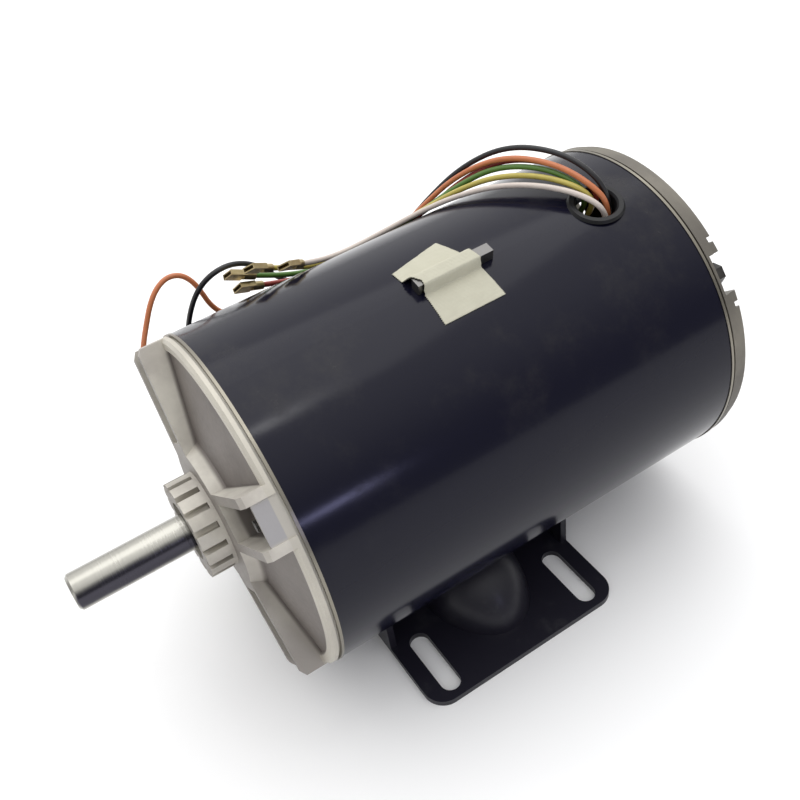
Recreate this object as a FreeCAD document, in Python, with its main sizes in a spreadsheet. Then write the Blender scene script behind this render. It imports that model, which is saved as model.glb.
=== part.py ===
import FreeCAD, Part

import math
import os
import re

import Sketcher
from FreeCAD import Placement, Rotation, Vector

# Foot-mounted induction motor of a door operator, in millimetres.
# The origin is the centre of the four foot slots on the foot's underside, +Z is up,
# and the shaft runs along +Y. Angles about the shaft are counted from straight up towards -X.

doc = FreeCAD.newDocument("DoorOperatorMotor")
sheet = doc.addObject("Spreadsheet::Sheet", "Sizes")

SIZES = [
    ("axis_height", 88.9, "shaft centre above the foot's underside"),
    ("shell_radius", 75.0, "outside of the rolled shell"),
    ("shell_wall", 2.5, "sheet of the shell"),
    ("shell_front", 79.5, "front edge of the shell along Y"),
    ("shell_rear", -116.6, "rear edge of the shell along Y"),
    ("fit_gap", 0.1, "clearance between pieces that locate in each other"),
    ("press_gap", 0.025, "clearance of a pressed fit"),
    ("overrun", 2.0, "how far a cut runs past the face that it leaves"),
    ("edge_break", 1.2, "chamfer on a cast rim"),
    ("draft", 1.0, "taper of a cast step, across"),
    ("lead_hole_radius", 10.0, "hole for the leads"),
    ("lead_hole_inset", 24.6, "lead hole from the shell's rear edge"),
    ("lead_hole_station", "=shell_rear + lead_hole_inset", "lead hole along Y"),
    ("lead_hole_angle", 11.5, "lead hole about the shaft, degrees"),
    ("bolt_angle", 51.0, "first through bolt about the shaft, degrees"),
    ("bolt_count", 4, "through bolts and arms"),
    ("bolt_radius", 2.4, "shank of a through bolt"),
    ("bolt_room", 0.4, "through bolt in its hole, each side"),
    ("bolt_hole_radius", "=bolt_radius + bolt_room", "clearance hole of a through bolt"),
    ("hex_step", 1.6, "hexagon beyond the shank, each side"),
    ("bolt_head_flats", "=2 * (bolt_radius + hex_step)", "hexagon across flats, heads and nuts"),
    ("bolt_head_height", 6.2, "head of a through bolt"),
    ("bolt_cover", 3.6, "bell outside a bolt head"),
    ("bolt_circle", "=shell_radius - bolt_head_flats / 2 - bolt_cover", "through bolts from the shaft"),
    ("bolt_tip", 3.0, "thread standing past the nut"),
    ("nut_height", 4.0, "nut"),
    ("washer_step", 0.4, "washer beyond the nut's flats"),
    ("washer_radius", "=bolt_head_flats / 2 + washer_step", "washer under the nut"),
    ("washer_thickness", 0.8, "washer under the nut"),
    ("lip_height", 0.4, "bell's lip above the shell"),
    ("lip_radius", "=shell_radius + lip_height", "bright lip of a bell beside the shell"),
    ("lip_width", 1.2, "lip along the shaft"),
    ("seam_depth", 1.0, "groove beside the lip, below the rim"),
    ("seam_width", 1.1, "groove beside the lip, along the shaft"),
    ("spigot_length", 6.0, "bell's step inside the shell"),
    ("spigot_wall", 2.8, "bell's step inside the shell"),
    ("rim_length", 5.2, "front bell's rim along the shaft"),
    ("rim_width", 4.5, "front bell's rim, across"),
    ("web_step", 4.1, "front bell's web from the shell's edge"),
    ("web_front", "=shell_front + web_step", "front face of the front bell's web, beside the rim"),
    ("web_rise", 6.6, "how far the web rises from the rim to the hub"),
    ("arm_width", 25.0, "channelled arm"),
    ("channel_width", 16.6, "inside of an arm's channel"),
    ("channel_step", 5.1, "channel floor from the shell's edge"),
    ("channel_floor", "=shell_front + channel_step", "floor of an arm's channel along Y"),
    ("channel_wall", 2.9, "wall at a channel's outer end"),
    ("channel_end", "=shell_radius - channel_wall", "outer end of a channel"),
    ("pad_recess", 1.0, "closed end of a channel, below the rim's outside"),
    ("arm_end_rise", 13.7, "arm's edge at the rim, from the shell"),
    ("arm_end_front", "=shell_front + arm_end_rise", "arm's edge at the rim, along Y"),
    ("mouth_drop", 1.5, "wall that closes a channel, below the arm's edge"),
    ("arm_knee_inset", 2.6, "arm's knee from the rim's outside"),
    ("arm_knee_radius", "=shell_radius - arm_knee_inset", "where an arm's edge turns down"),
    ("arm_knee_rise", 15.4, "arm's knee from the shell's edge"),
    ("arm_knee_front", "=shell_front + arm_knee_rise", "arm's edge at that radius, along Y"),
    ("window_margin", 6.0, "floor between hub and window"),
    ("window_inner", "=hub_radius + window_margin", "vent window in a channel floor"),
    ("nut_margin", 2.4, "floor between window and nut"),
    ("window_outer", "=bolt_circle - bolt_head_flats / 2 - nut_margin", "vent window in a channel floor"),
    ("window_width", 13.0, "vent window in a channel floor"),
    ("hub_wall", 11.0, "front bell's metal round the bearing"),
    ("hub_radius", "=bearing_radius + hub_wall", "front bell's hub"),
    ("hub_rise", 17.0, "hub's front face from the shell's edge"),
    ("hub_front", "=shell_front + hub_rise", "front face of the hub along Y"),
    ("hub_flare", 3.0, "hub's taper down to the web"),
    ("ring_radius", 21.3, "castellated ring on the hub"),
    ("ring_bore", 13.0, "bore of the castellated ring"),
    ("ring_rise", 28.5, "castellated ring from the shell's edge"),
    ("ring_front", "=shell_front + ring_rise", "front face of the castellated ring along Y"),
    ("ring_teeth", 16, "teeth of the castellated ring"),
    ("ring_slot_width", 2.8, "gap between two teeth"),
    ("ring_slot_depth", 4.0, "gap between two teeth, radially"),
    ("ring_slot_length", 10.0, "gap between two teeth, along the shaft"),
    ("rear_band", 10.6, "rear bell's rim along the shaft"),
    ("rear_rim_width", 12.0, "rear bell's solid rim, across"),
    ("rear_face_inset", 3.9, "rear rim's face from the rim's inside"),
    ("rear_ledge", "=shell_radius - shell_wall - rear_rim_width + rear_face_inset", "rear rim's face, inside"),
    ("rear_recess", 2.4, "rear web below the rim"),
    ("rear_web", 4.6, "thickness of the rear web"),
    ("rear_hub_wall", 7.0, "rear bell's metal round the bearing"),
    ("rear_hub_radius", "=bearing_radius + rear_hub_wall", "rear bell's hub"),
    ("rear_step", 1.2, "step round the rear rim, across"),
    ("rear_step_length", 4.6, "step round the rear rim, along the shaft"),
    ("notch_room", 9.5, "notch wider than a bolt head"),
    ("notch_width", "=bolt_head_flats + notch_room", "notch for a bolt head"),
    ("notch_depth", 7.0, "notch along the shaft"),
    ("notch_back", 2.5, "notch behind a bolt head, towards the shaft"),
    ("notch_inner", "=bolt_circle - bolt_head_flats / 2 - notch_back", "inner end of a notch"),
    ("pry_slot_width", 2.6, "pry slot beside a notch"),
    ("pry_slot_depth", 3.0, "pry slot beside a notch, along the shaft"),
    ("pry_slot_gap", 4.5, "rim between notch and pry slot"),
    ("pry_slot_offset", "=notch_width / 2 + pry_slot_gap", "pry slot from the middle of its notch"),
    ("vent_count", 8, "vents in the rear web"),
    ("vent_margin", 6.0, "web between hub and vent"),
    ("vent_inner", "=rear_hub_radius + vent_margin", "inner end of a rear vent"),
    ("vent_edge", 4.5, "web between vent and rim"),
    ("vent_outer", "=shell_radius - shell_wall - rear_rim_width - vent_edge", "outer end of a rear vent"),
    ("vent_width", 9.0, "rear vent"),
    ("shaft_room", 1.5, "clearance behind the shaft's end, in the rear hub"),
    ("shaft_radius", 7.9375, "shaft extension"),
    ("shaft_reach", 78.5, "shaft beyond the shell's front edge"),
    ("shaft_end", "=shell_front + shaft_reach", "end of the shaft along Y"),
    ("shaft_chamfer", 1.2, "edge of the shaft's end"),
    ("shaft_body_radius", 10.0, "shaft between the bearings"),
    ("key_side", 4.76, "square key"),
    ("key_length", 35.0, "square key"),
    ("keyway_turn", -22.5, "keyway in the shaft, from straight down, degrees"),
    ("key_angle", 11.0, "taped key about the shaft, degrees"),
    ("key_station", -20.9, "middle of the taped key along Y"),
    ("tape_width", 27.6, "tape along Y"),
    ("tape_station", -18.6, "middle of the tape along Y"),
    ("tape_thickness", 0.25, "paper tape"),
    ("tape_tent", 5.2, "tape that hangs free beside the key"),
    ("tape_upper_angle", -3.4, "upper edge of the tape, degrees"),
    ("tape_lower_angle", 25.4, "lower edge of the tape, degrees"),
    ("bearing_bore", 8.5, "inner race, radius"),
    ("bearing_radius", 20.0, "outer race, radius"),
    ("bearing_width", 12.0, "both races"),
    ("ball_radius", 3.375, "bearing ball"),
    ("ball_count", 8, "balls in a bearing"),
    ("ball_gap", 0.25, "ball to its groove"),
    ("race_land", 2.75, "race shoulder, from the ball circle"),
    ("cage_half_width", 4.2, "ball cage, each side"),
    ("cage_wall", 1.5, "ball cage, radially"),
    ("shield_thickness", 0.6, "bearing shield"),
    ("shield_inset", 0.3, "bearing shield below the race's face"),
    ("shield_clearance", 0.5, "bearing shield to the turning race"),
    ("front_bearing_rise", 8.9, "front bearing's middle from the shell's edge"),
    ("front_bearing", "=shell_front + front_bearing_rise", "middle of the front bearing along Y"),
    ("rear_bearing_inset", 2.2, "rear bearing's middle from the shell's edge"),
    ("rear_bearing", "=shell_rear + rear_bearing_inset", "middle of the rear bearing along Y"),
    ("spring_height", 1.6, "wave spring between bearing and bell"),
    ("spring_sheet", 0.4, "strip of the wave spring"),
    ("spring_room", 0.6, "wave spring in the bearing pocket, each side"),
    ("spring_width", 3.9, "strip of the wave spring, across"),
    ("spring_inner", "=bearing_radius - spring_room - spring_width", "wave spring, inside radius"),
    ("spring_outer", "=bearing_radius - spring_room", "wave spring, outside radius"),
    ("retainer_thickness", 1.1, "retaining ring on the shaft"),
    ("retainer_radius", 10.6, "retaining ring on the shaft"),
    ("stack_front", 18.0, "front face of the lamination stacks along Y"),
    ("stack_rear", -62.0, "rear face of the lamination stacks along Y"),
    ("stator_depth", 33.0, "shell's outside to the stator's bore"),
    ("stator_bore", "=shell_radius - stator_depth", "stator, inside radius"),
    ("air_gap", 0.5, "stator to rotor"),
    ("slot_count", 24, "stator slots"),
    ("slot_mouth", 2.6, "slot opening at the bore"),
    ("slot_lip", 1.6, "tooth tip, radially"),
    ("slot_inner_width", 5.2, "slot at the tooth tips"),
    ("slot_outer_width", 8.4, "slot at its bottom"),
    ("stator_yoke", 14.5, "stator behind the slots"),
    ("slot_bottom", "=shell_radius - shell_wall - stator_yoke", "bottom of a slot, from the shaft"),
    ("slot_lining", 0.4, "room for the slot's insulation"),
    ("bolt_notch_width", 8.0, "notch in the stator for a through bolt"),
    ("bolt_notch_room", 1.1, "through bolt from that notch's bottom"),
    ("bolt_notch_inner", "=bolt_circle - bolt_radius - bolt_notch_room", "bottom of that notch"),
    ("overhang_length", 34.0, "end turns beyond the stack"),
    ("overhang_room", 1.2, "end turns from the through bolts"),
    ("overhang_outer", "=bolt_circle - bolt_radius - overhang_room", "end turns, outside radius"),
    ("overhang_depth", 8.0, "end turns inside the slot bottoms"),
    ("overhang_inner", "=slot_bottom - overhang_depth", "end turns, inside radius"),
    ("overhang_round", 7.0, "shoulder of the end turns"),
    ("bar_count", 22, "rotor bars"),
    ("bar_radius", 2.4, "rotor bar"),
    ("bar_inset", 5.5, "rotor bars from the stator's bore"),
    ("bar_circle", "=stator_bore - bar_inset", "radius that the rotor bars stand on"),
    ("end_ring_depth", 14.0, "rotor end ring's bore from the stator's bore"),
    ("end_ring_inner", "=stator_bore - end_ring_depth", "rotor end ring"),
    ("end_ring_length", 9.0, "rotor end ring along the shaft"),
    ("blade_count", 7, "fan blades on an end ring"),
    ("blade_length", 13.0, "fan blade along the shaft"),
    ("blade_thickness", 2.4, "fan blade"),
    ("foot_half_width", 82.5, "foot plate, half across"),
    ("foot_half_length", 50.8, "foot plate, half along Y"),
    ("foot_sheet", 3.2, "sheet of the foot"),
    ("foot_corner", 10.0, "foot corner radius"),
    ("slot_half_x", 61.9, "foot slot from the middle, across"),
    ("slot_half_y", 38.1, "foot slot from the middle, along Y"),
    ("slot_straight", 24.3, "straight part of a foot slot"),
    ("slot_radius", 4.75, "half the width of a foot slot"),
    ("hump_centre", 31.0, "pressed hump, from the middle"),
    ("hump_half_width", 39.0, "pressed hump across"),
    ("hump_half_length", 25.0, "pressed hump along Y"),
    ("saddle_rise", 17.1, "foot's saddle above the shell's lowest line"),
    ("hump_height", "=axis_height - shell_radius + saddle_rise", "pressed hump above the underside"),
    ("flange_half_width", 45.0, "saddle flange, half across"),
    ("flange_height", "=axis_height - shell_radius + saddle_rise", "saddle flange before the saddle is cut"),
    ("grommet_wall", 1.5, "grommet in the lead hole, each side"),
    ("grommet_bore", "=lead_hole_radius - grommet_wall", "grommet, inside radius"),
    ("grommet_overlap", 2.0, "grommet's lip over the shell, each side"),
    ("grommet_flange", "=lead_hole_radius + grommet_overlap", "grommet, outside radius"),
    ("grommet_lip", 1.2, "grommet above the shell"),
    ("grommet_inner_lip", 1.4, "grommet below the shell"),
    ("grommet_bevel", 0.8, "edges of the grommet"),
    ("lead_diameter", 2.4, "insulated lead"),
    ("barrel_radius", 1.9, "crimp barrel of a lead terminal"),
    ("barrel_length", 6.0, "crimp barrel of a lead terminal"),
    ("blade_socket_width", 6.6, "flat socket of a lead terminal"),
    ("blade_socket_height", 2.4, "flat socket of a lead terminal"),
    ("blade_socket_length", 8.0, "flat socket of a lead terminal"),
    ("blade_socket_wall", 0.5, "flat socket of a lead terminal"),
]

for row, (alias, number, meaning) in enumerate(SIZES, start=1):
    sheet.set("A%d" % row, meaning)
    sheet.set("B%d" % row, str(number))
    sheet.setAlias("B%d" % row, alias)
doc.recompute()

WORDS = re.compile(r"\b(" + "|".join(alias for alias, number, meaning in SIZES) + r")\b")
NODES = []


# Helpers: expressions, sketches and features

def size(expression):
    """Value of an expression on the sheet."""
    return float(sheet.evalExpression(str(expression)))


def bind(thing, prop, expression):
    """Ties a property to the sheet."""
    thing.setExpression(prop, WORDS.sub(r"Sizes.\1", str(expression)))


def node(thing, label):
    """Names a finished sub-part, which is written to a file of that name."""
    thing.Label = label
    NODES.append(thing)
    return thing


def new_body(label):
    return node(doc.addObject("PartDesign::Body", label), label)


def lay_on_axis(thing, turn=0.0, station="0"):
    """Lays a piece that was made about its own Z on the motor's axis, turned and moved along it."""
    place = Vector(0, size(station), size("axis_height"))
    thing.Placement = Placement(place, Rotation(Vector(1, 0, 0), -90) * Rotation(Vector(0, 0, 1), turn))
    bind(thing, "Placement.Base.y", station)
    bind(thing, "Placement.Base.z", "axis_height")


def turn_to(angle):
    """Turn that points a piece's own X at an angle about the shaft."""
    return -90.0 - size(angle)


def origin_of(body, role):
    return next(item for item in body.Origin.OriginFeatures if item.Role == role)


def new_sketch(body, role, name, height="0"):
    sketch = body.newObject("Sketcher::SketchObject", name)
    sketch.AttachmentSupport = [(origin_of(body, role), "")]
    sketch.MapMode = "FlatFace"
    sketch.AttachmentOffset = Placement(Vector(0, 0, size(height)), Rotation())
    bind(sketch, "AttachmentOffset.Base.z", height)
    return sketch


def hold(sketch, geometry, point, across, along):
    """Holds one point of a sketch to two expressions; a zero puts it on the sketch's own axis."""
    for kind, expression, axis in (("DistanceX", across, -2), ("DistanceY", along, -1)):
        if size(expression) == 0:
            sketch.addConstraint(Sketcher.Constraint("PointOnObject", geometry, point, axis))
        else:
            index = sketch.addConstraint(Sketcher.Constraint(kind, geometry, point, size(expression)))
            bind(sketch, "Constraints[%d]" % index, expression)


def polygon(sketch, corners):
    """Closed outline of straight lines through corners given as pairs of expressions."""
    first = sketch.GeometryCount
    count = len(corners)
    places = [Vector(size(across), size(along), 0) for across, along in corners]
    for index in range(count):
        sketch.addGeometry(Part.LineSegment(places[index], places[(index + 1) % count]), False)
    for index in range(count):
        following = first + (index + 1) % count
        sketch.addConstraint(Sketcher.Constraint("Coincident", first + index, 2, following, 1))
        hold(sketch, first + index, 1, *corners[index])


def rectangle(sketch, low_x, high_x, low_y, high_y):
    polygon(sketch, [(low_x, low_y), (high_x, low_y), (high_x, high_y), (low_x, high_y)])


def circle(sketch, across, along, radius):
    place = Vector(size(across), size(along), 0)
    index = sketch.addGeometry(Part.Circle(place, Vector(0, 0, 1), size(radius)), False)
    if size(across) == 0 and size(along) == 0:
        sketch.addConstraint(Sketcher.Constraint("Coincident", index, 3, -1, 1))
    else:
        hold(sketch, index, 3, across, along)
    limit = sketch.addConstraint(Sketcher.Constraint("Radius", index, size(radius)))
    bind(sketch, "Constraints[%d]" % limit, radius)


def long_hole(sketch, centre_x, centre_y, straight, radius):
    """Slot along the sketch's X: two arcs and two lines, tangent where they meet."""
    left = "%s - (%s) / 2" % (centre_x, straight)
    right = "%s + (%s) / 2" % (centre_x, straight)
    normal = Vector(0, 0, 1)
    reach = size(radius)
    level = size(centre_y)
    left_circle = Part.Circle(Vector(size(left), level, 0), normal, reach)
    right_circle = Part.Circle(Vector(size(right), level, 0), normal, reach)
    first = sketch.GeometryCount
    sketch.addGeometry(Part.ArcOfCircle(left_circle, math.pi / 2, 3 * math.pi / 2), False)
    sketch.addGeometry(Part.ArcOfCircle(right_circle, -math.pi / 2, math.pi / 2), False)
    for side, ends in ((1, (first, 1, first + 1, 2)), (-1, (first, 2, first + 1, 1))):
        start = Vector(size(left), level + side * reach, 0)
        stop = Vector(size(right), level + side * reach, 0)
        line = sketch.addGeometry(Part.LineSegment(start, stop), False)
        sketch.addConstraint(Sketcher.Constraint("Tangent", line, 1, ends[0], ends[1]))
        sketch.addConstraint(Sketcher.Constraint("Tangent", line, 2, ends[2], ends[3]))
    sketch.addConstraint(Sketcher.Constraint("Equal", first, first + 1))
    hold(sketch, first, 3, left, centre_y)
    hold(sketch, first + 1, 3, right, centre_y)
    limit = sketch.addConstraint(Sketcher.Constraint("Radius", first, reach))
    bind(sketch, "Constraints[%d]" % limit, radius)


def settle(body, feature, before, cuts):
    """Rebuilds, and stops the build if a feature failed or did nothing."""
    doc.recompute()
    change = body.Shape.Volume - before
    if "Invalid" in feature.State or "Error" in feature.State or (change >= 0 if cuts else change <= 0):
        raise RuntimeError("%s: %s changed the volume by %.3f" % (body.Label, feature.Label, change))
    return feature


def volume_of(body):
    return body.Shape.Volume if body.Tip else 0.0


def revolve(body, name, corners, cuts=False):
    """Solid or groove of revolution about the body's Z; corners are radius and station."""
    before = volume_of(body)
    sketch = new_sketch(body, "XZ_Plane", name + "_outline")
    polygon(sketch, corners)
    feature = body.newObject("PartDesign::Groove" if cuts else "PartDesign::Revolution", name)
    feature.Profile = sketch
    feature.ReferenceAxis = (sketch, ["V_Axis"])
    feature.Angle = 360
    return settle(body, feature, before, cuts)


def extrude(body, name, sketch, length, cuts=False, reverse=False):
    """Pad along the sketch's normal, or a pocket against it; reverse turns either round."""
    before = volume_of(body)
    feature = body.newObject("PartDesign::Pocket" if cuts else "PartDesign::Pad", name)
    feature.Profile = sketch
    feature.Reversed = reverse
    feature.Length = size(length)
    bind(feature, "Length", length)
    return settle(body, feature, before, cuts)


def around(body, name, originals, count, cuts):
    """Repeats features about the body's Z."""
    before = volume_of(body)
    pattern = body.newObject("PartDesign::PolarPattern", name)
    pattern.Originals = originals
    pattern.Axis = (origin_of(body, "Z_Axis"), [""])
    pattern.Angle = 360
    pattern.Occurrences = int(size(count))
    bind(pattern, "Occurrences", count)
    body.Tip = pattern
    return settle(body, pattern, before, cuts)


def primitive(body, kind, name, sizes, place, cuts):
    """Adds or takes away one primitive; sizes and place are expressions."""
    before = volume_of(body)
    feature = body.newObject(kind, name)
    feature.Placement = Placement(Vector(*[size(item) for item in place]), Rotation())
    for prop, expression in sizes.items():
        bind(feature, prop, expression)
    for letter, expression in zip("xyz", place):
        bind(feature, "Placement.Base." + letter, expression)
    return settle(body, feature, before, cuts)


def part_object(kind, name, sizes, place=()):
    """One of the plain solids, with bound sizes and, where it is given, a bound place."""
    thing = doc.addObject(kind, name)
    for prop, expression in sizes.items():
        bind(thing, prop, expression)
    for letter, expression in zip("xyz", place):
        bind(thing, "Placement.Base." + letter, expression)
    return thing


def joined(name, kind, base, tool):
    """Boolean of two plain solids."""
    result = doc.addObject(kind, name)
    result.Base = base
    result.Tool = tool
    doc.recompute()
    return result


def shaped(label, shape):
    """Sub-part whose shape is set here."""
    thing = doc.addObject("Part::Feature", label)
    thing.Shape = shape
    return node(thing, label)


def ring_of(label, shape, count):
    """Separate copies of one piece, evenly spaced about its Z."""
    copies = []
    for index in range(int(count)):
        copy = shape.copy()
        copy.rotate(Vector(0, 0, 0), Vector(0, 0, 1), 360.0 * index / count)
        copies.append(copy)
    return shaped(label, Part.makeCompound(copies))


def on_shell(station, angle, height):
    """Point over the shell: along Y, about the shaft, and above the shell's surface."""
    radius = size("shell_radius") + height
    slope = math.radians(angle)
    return Vector(-radius * math.sin(slope), station, size("axis_height") + radius * math.cos(slope))


# Shell: rolled and welded steel tube with one hole for the leads

shell = new_body("shell")
revolve(shell, "tube", [
    ("shell_radius - shell_wall", "shell_rear"),
    ("shell_radius", "shell_rear"),
    ("shell_radius", "shell_front"),
    ("shell_radius - shell_wall", "shell_front"),
])
lead_hole = new_sketch(shell, "YZ_Plane", "lead_hole_outline")
circle(lead_hole, "0", "lead_hole_station", "lead_hole_radius")
extrude(shell, "lead_hole", lead_hole, "shell_radius + overrun", cuts=True, reverse=True)
lay_on_axis(shell, turn_to("lead_hole_angle"))


# Front bell: die casting with a rim, a web, a hub, a castellated ring and four channelled arms

front_bell = new_body("front_bell")
RIM_FRONT = "(shell_front + rim_length)"
SPIGOT_RADIUS = "(shell_radius - shell_wall - fit_gap)"
POCKET_RADIUS = "(bearing_radius + fit_gap)"
FRONT_POCKET = "(front_bearing + bearing_width / 2)"
SEAM_FRONT = "(shell_front + lip_width + seam_width)"
revolve(front_bell, "casting", [
    ("ring_bore", FRONT_POCKET),
    (POCKET_RADIUS, FRONT_POCKET),
    (POCKET_RADIUS, "shell_front"),
    (SPIGOT_RADIUS + " - spigot_wall", "shell_front"),
    (SPIGOT_RADIUS + " - spigot_wall", "shell_front - spigot_length"),
    (SPIGOT_RADIUS, "shell_front - spigot_length"),
    (SPIGOT_RADIUS, "shell_front"),
    ("lip_radius", "shell_front"),
    ("lip_radius", "shell_front + lip_width"),
    ("shell_radius - seam_depth", "shell_front + lip_width"),
    ("shell_radius - seam_depth", SEAM_FRONT),
    ("shell_radius", SEAM_FRONT),
    ("shell_radius", RIM_FRONT + " - edge_break"),
    ("shell_radius - edge_break", RIM_FRONT),
    ("shell_radius - rim_width", RIM_FRONT),
    ("shell_radius - rim_width - draft", "web_front"),
    ("hub_radius + hub_flare", "web_front + web_rise"),
    ("hub_radius", "hub_front"),
    ("ring_radius", "hub_front"),
    ("ring_radius", "ring_front"),
    ("ring_bore", "ring_front"),
])

arm_outline = new_sketch(front_bell, "XY_Plane", "arm_outline", SEAM_FRONT)
ARM_ROOT = "(bearing_radius + hub_radius) / 2"
rectangle(arm_outline, ARM_ROOT, "shell_radius", "-arm_width / 2", "arm_width / 2")
arm = extrude(front_bell, "arm", arm_outline, "hub_front - " + SEAM_FRONT)
around(front_bell, "arms", [arm], "bolt_count", cuts=False)

revolve(front_bell, "arm_edges", [
    ("hub_radius", "hub_front"),
    ("arm_knee_radius", "arm_knee_front"),
    ("shell_radius", "arm_end_front"),
    ("shell_radius", SEAM_FRONT),
    ("shell_radius + arm_width", SEAM_FRONT),
    ("shell_radius + arm_width", "ring_front"),
    ("hub_radius", "ring_front"),
], cuts=True)

channel_outline = new_sketch(front_bell, "XY_Plane", "channel_outline", "channel_floor")
HALF_CHANNEL = "channel_width / 2"
rectangle(channel_outline, "hub_radius + hub_flare", "channel_end", "-" + HALF_CHANNEL, HALF_CHANNEL)
channel_depth = "ring_front - channel_floor"
channel = extrude(front_bell, "channel", channel_outline, channel_depth, cuts=True, reverse=True)
mouth_outline = new_sketch(front_bell, "XY_Plane", "mouth_outline", "arm_end_front - mouth_drop")
rectangle(mouth_outline, "channel_end - overrun", "shell_radius + overrun", "-" + HALF_CHANNEL, HALF_CHANNEL)
mouth = extrude(front_bell, "mouth", mouth_outline, "ring_front - arm_end_front", cuts=True, reverse=True)
window_outline = new_sketch(front_bell, "XY_Plane", "window_outline", "channel_floor")
rectangle(window_outline, "window_inner", "window_outer", "-window_width / 2", "window_width / 2")
window_depth = "channel_floor - shell_front + overrun"
window = extrude(front_bell, "window", window_outline, window_depth, cuts=True)
bolt_outline = new_sketch(front_bell, "XY_Plane", "bolt_outline", "channel_floor")
circle(bolt_outline, "bolt_circle", "0", "bolt_hole_radius")
bolt_hole_depth = "channel_floor - shell_front + spigot_length + overrun"
bolt_hole = extrude(front_bell, "bolt_hole", bolt_outline, bolt_hole_depth, cuts=True)
pad_outline = new_sketch(front_bell, "XY_Plane", "pad_outline", SEAM_FRONT)
PAD_FACE = "shell_radius - pad_recess"
rectangle(pad_outline, PAD_FACE, "shell_radius + overrun", "-" + HALF_CHANNEL, HALF_CHANNEL)
pad = extrude(front_bell, "pad", pad_outline, "ring_front - " + SEAM_FRONT, cuts=True, reverse=True)
around(front_bell, "channels", [channel, mouth, window, bolt_hole, pad], "bolt_count", cuts=True)

gap_outline = new_sketch(front_bell, "XY_Plane", "gap_outline", "ring_front")
GAP_FLOOR = "ring_radius - ring_slot_depth"
rectangle(gap_outline, GAP_FLOOR, "ring_radius + overrun", "-ring_slot_width / 2", "ring_slot_width / 2")
gap = extrude(front_bell, "gap", gap_outline, "ring_slot_length", cuts=True)
around(front_bell, "castellation", [gap], "ring_teeth", cuts=True)
lay_on_axis(front_bell, turn_to("bolt_angle"))


# Rear bell: die casting with a deep notched rim, a vented web and a closed bearing hub

rear_bell = new_body("rear_bell")
REAR_END = "(shell_rear - rear_band)"
REAR_POCKET = "(rear_bearing - bearing_width / 2 - spring_height - fit_gap)"
RIM_INNER = "(shell_radius - shell_wall - fit_gap - rear_rim_width)"
WEB_OUTER = "(shell_rear - rear_band + rear_recess)"
WEB_INNER = "(shell_rear - rear_band + rear_recess + rear_web)"
REAR_HUB_TOP = "(rear_bearing + bearing_width / 2 + draft)"
revolve(rear_bell, "casting", [
    ("0", REAR_END),
    ("rear_hub_radius", REAR_END),
    ("rear_hub_radius + 2 * draft", WEB_OUTER),
    ("rear_ledge", WEB_OUTER),
    ("rear_ledge + 2 * draft", REAR_END),
    ("shell_radius - rear_step - edge_break", REAR_END),
    ("shell_radius - rear_step", REAR_END + " + edge_break"),
    ("shell_radius - rear_step", REAR_END + " + rear_step_length"),
    ("shell_radius", REAR_END + " + rear_step_length"),
    ("shell_radius", "shell_rear - lip_width - seam_width"),
    ("shell_radius - seam_depth", "shell_rear - lip_width - seam_width"),
    ("shell_radius - seam_depth", "shell_rear - lip_width"),
    ("lip_radius", "shell_rear - lip_width"),
    ("lip_radius", "shell_rear"),
    (SPIGOT_RADIUS, "shell_rear"),
    (SPIGOT_RADIUS, "shell_rear + spigot_length / 2"),
    (RIM_INNER, "shell_rear + spigot_length / 2"),
    (RIM_INNER, WEB_INNER),
    ("rear_hub_radius", WEB_INNER),
    ("rear_hub_radius - draft", REAR_HUB_TOP),
    (POCKET_RADIUS, REAR_HUB_TOP),
    (POCKET_RADIUS, REAR_POCKET),
    ("shaft_body_radius + draft", REAR_POCKET),
    ("shaft_body_radius + draft", REAR_POCKET + " - shaft_room"),
    ("0", REAR_POCKET + " - shaft_room"),
])
notch_outline = new_sketch(rear_bell, "XY_Plane", "notch_outline", REAR_END)
rectangle(notch_outline, "notch_inner", "shell_radius + overrun", "-notch_width / 2", "notch_width / 2")
notch = extrude(rear_bell, "notch", notch_outline, "notch_depth", cuts=True, reverse=True)
rear_bolt_outline = new_sketch(rear_bell, "XY_Plane", "rear_bolt_outline", REAR_END)
circle(rear_bolt_outline, "bolt_circle", "0", "bolt_hole_radius")
hole_depth = "rear_band + spigot_length"
rear_hole = extrude(rear_bell, "rear_hole", rear_bolt_outline, hole_depth, cuts=True, reverse=True)
pry_outline = new_sketch(rear_bell, "XY_Plane", "pry_outline", REAR_END)
for near, far in (
    ("pry_slot_offset", "pry_slot_offset + pry_slot_width"),
    ("-pry_slot_offset - pry_slot_width", "-pry_slot_offset"),
):
    rectangle(pry_outline, "rear_ledge", "shell_radius + overrun", near, far)
pry_slots = extrude(rear_bell, "pry_slots", pry_outline, "pry_slot_depth", cuts=True, reverse=True)
around(rear_bell, "notches", [notch, rear_hole, pry_slots], "bolt_count", cuts=True)
vent_outline = new_sketch(rear_bell, "XY_Plane", "vent_outline", REAR_END)
VENT_STRAIGHT = "vent_outer - vent_inner - vent_width"
long_hole(vent_outline, "(vent_inner + vent_outer) / 2", "0", VENT_STRAIGHT, "vent_width / 2")
vent = extrude(rear_bell, "vent", vent_outline, "rear_recess + rear_web + overrun", cuts=True, reverse=True)
around(rear_bell, "vents", [vent], "vent_count", cuts=True)
lay_on_axis(rear_bell, turn_to("bolt_angle"))


# Through bolts, nuts and washers: clamp both bells on the shell, heads in the rear notches

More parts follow.
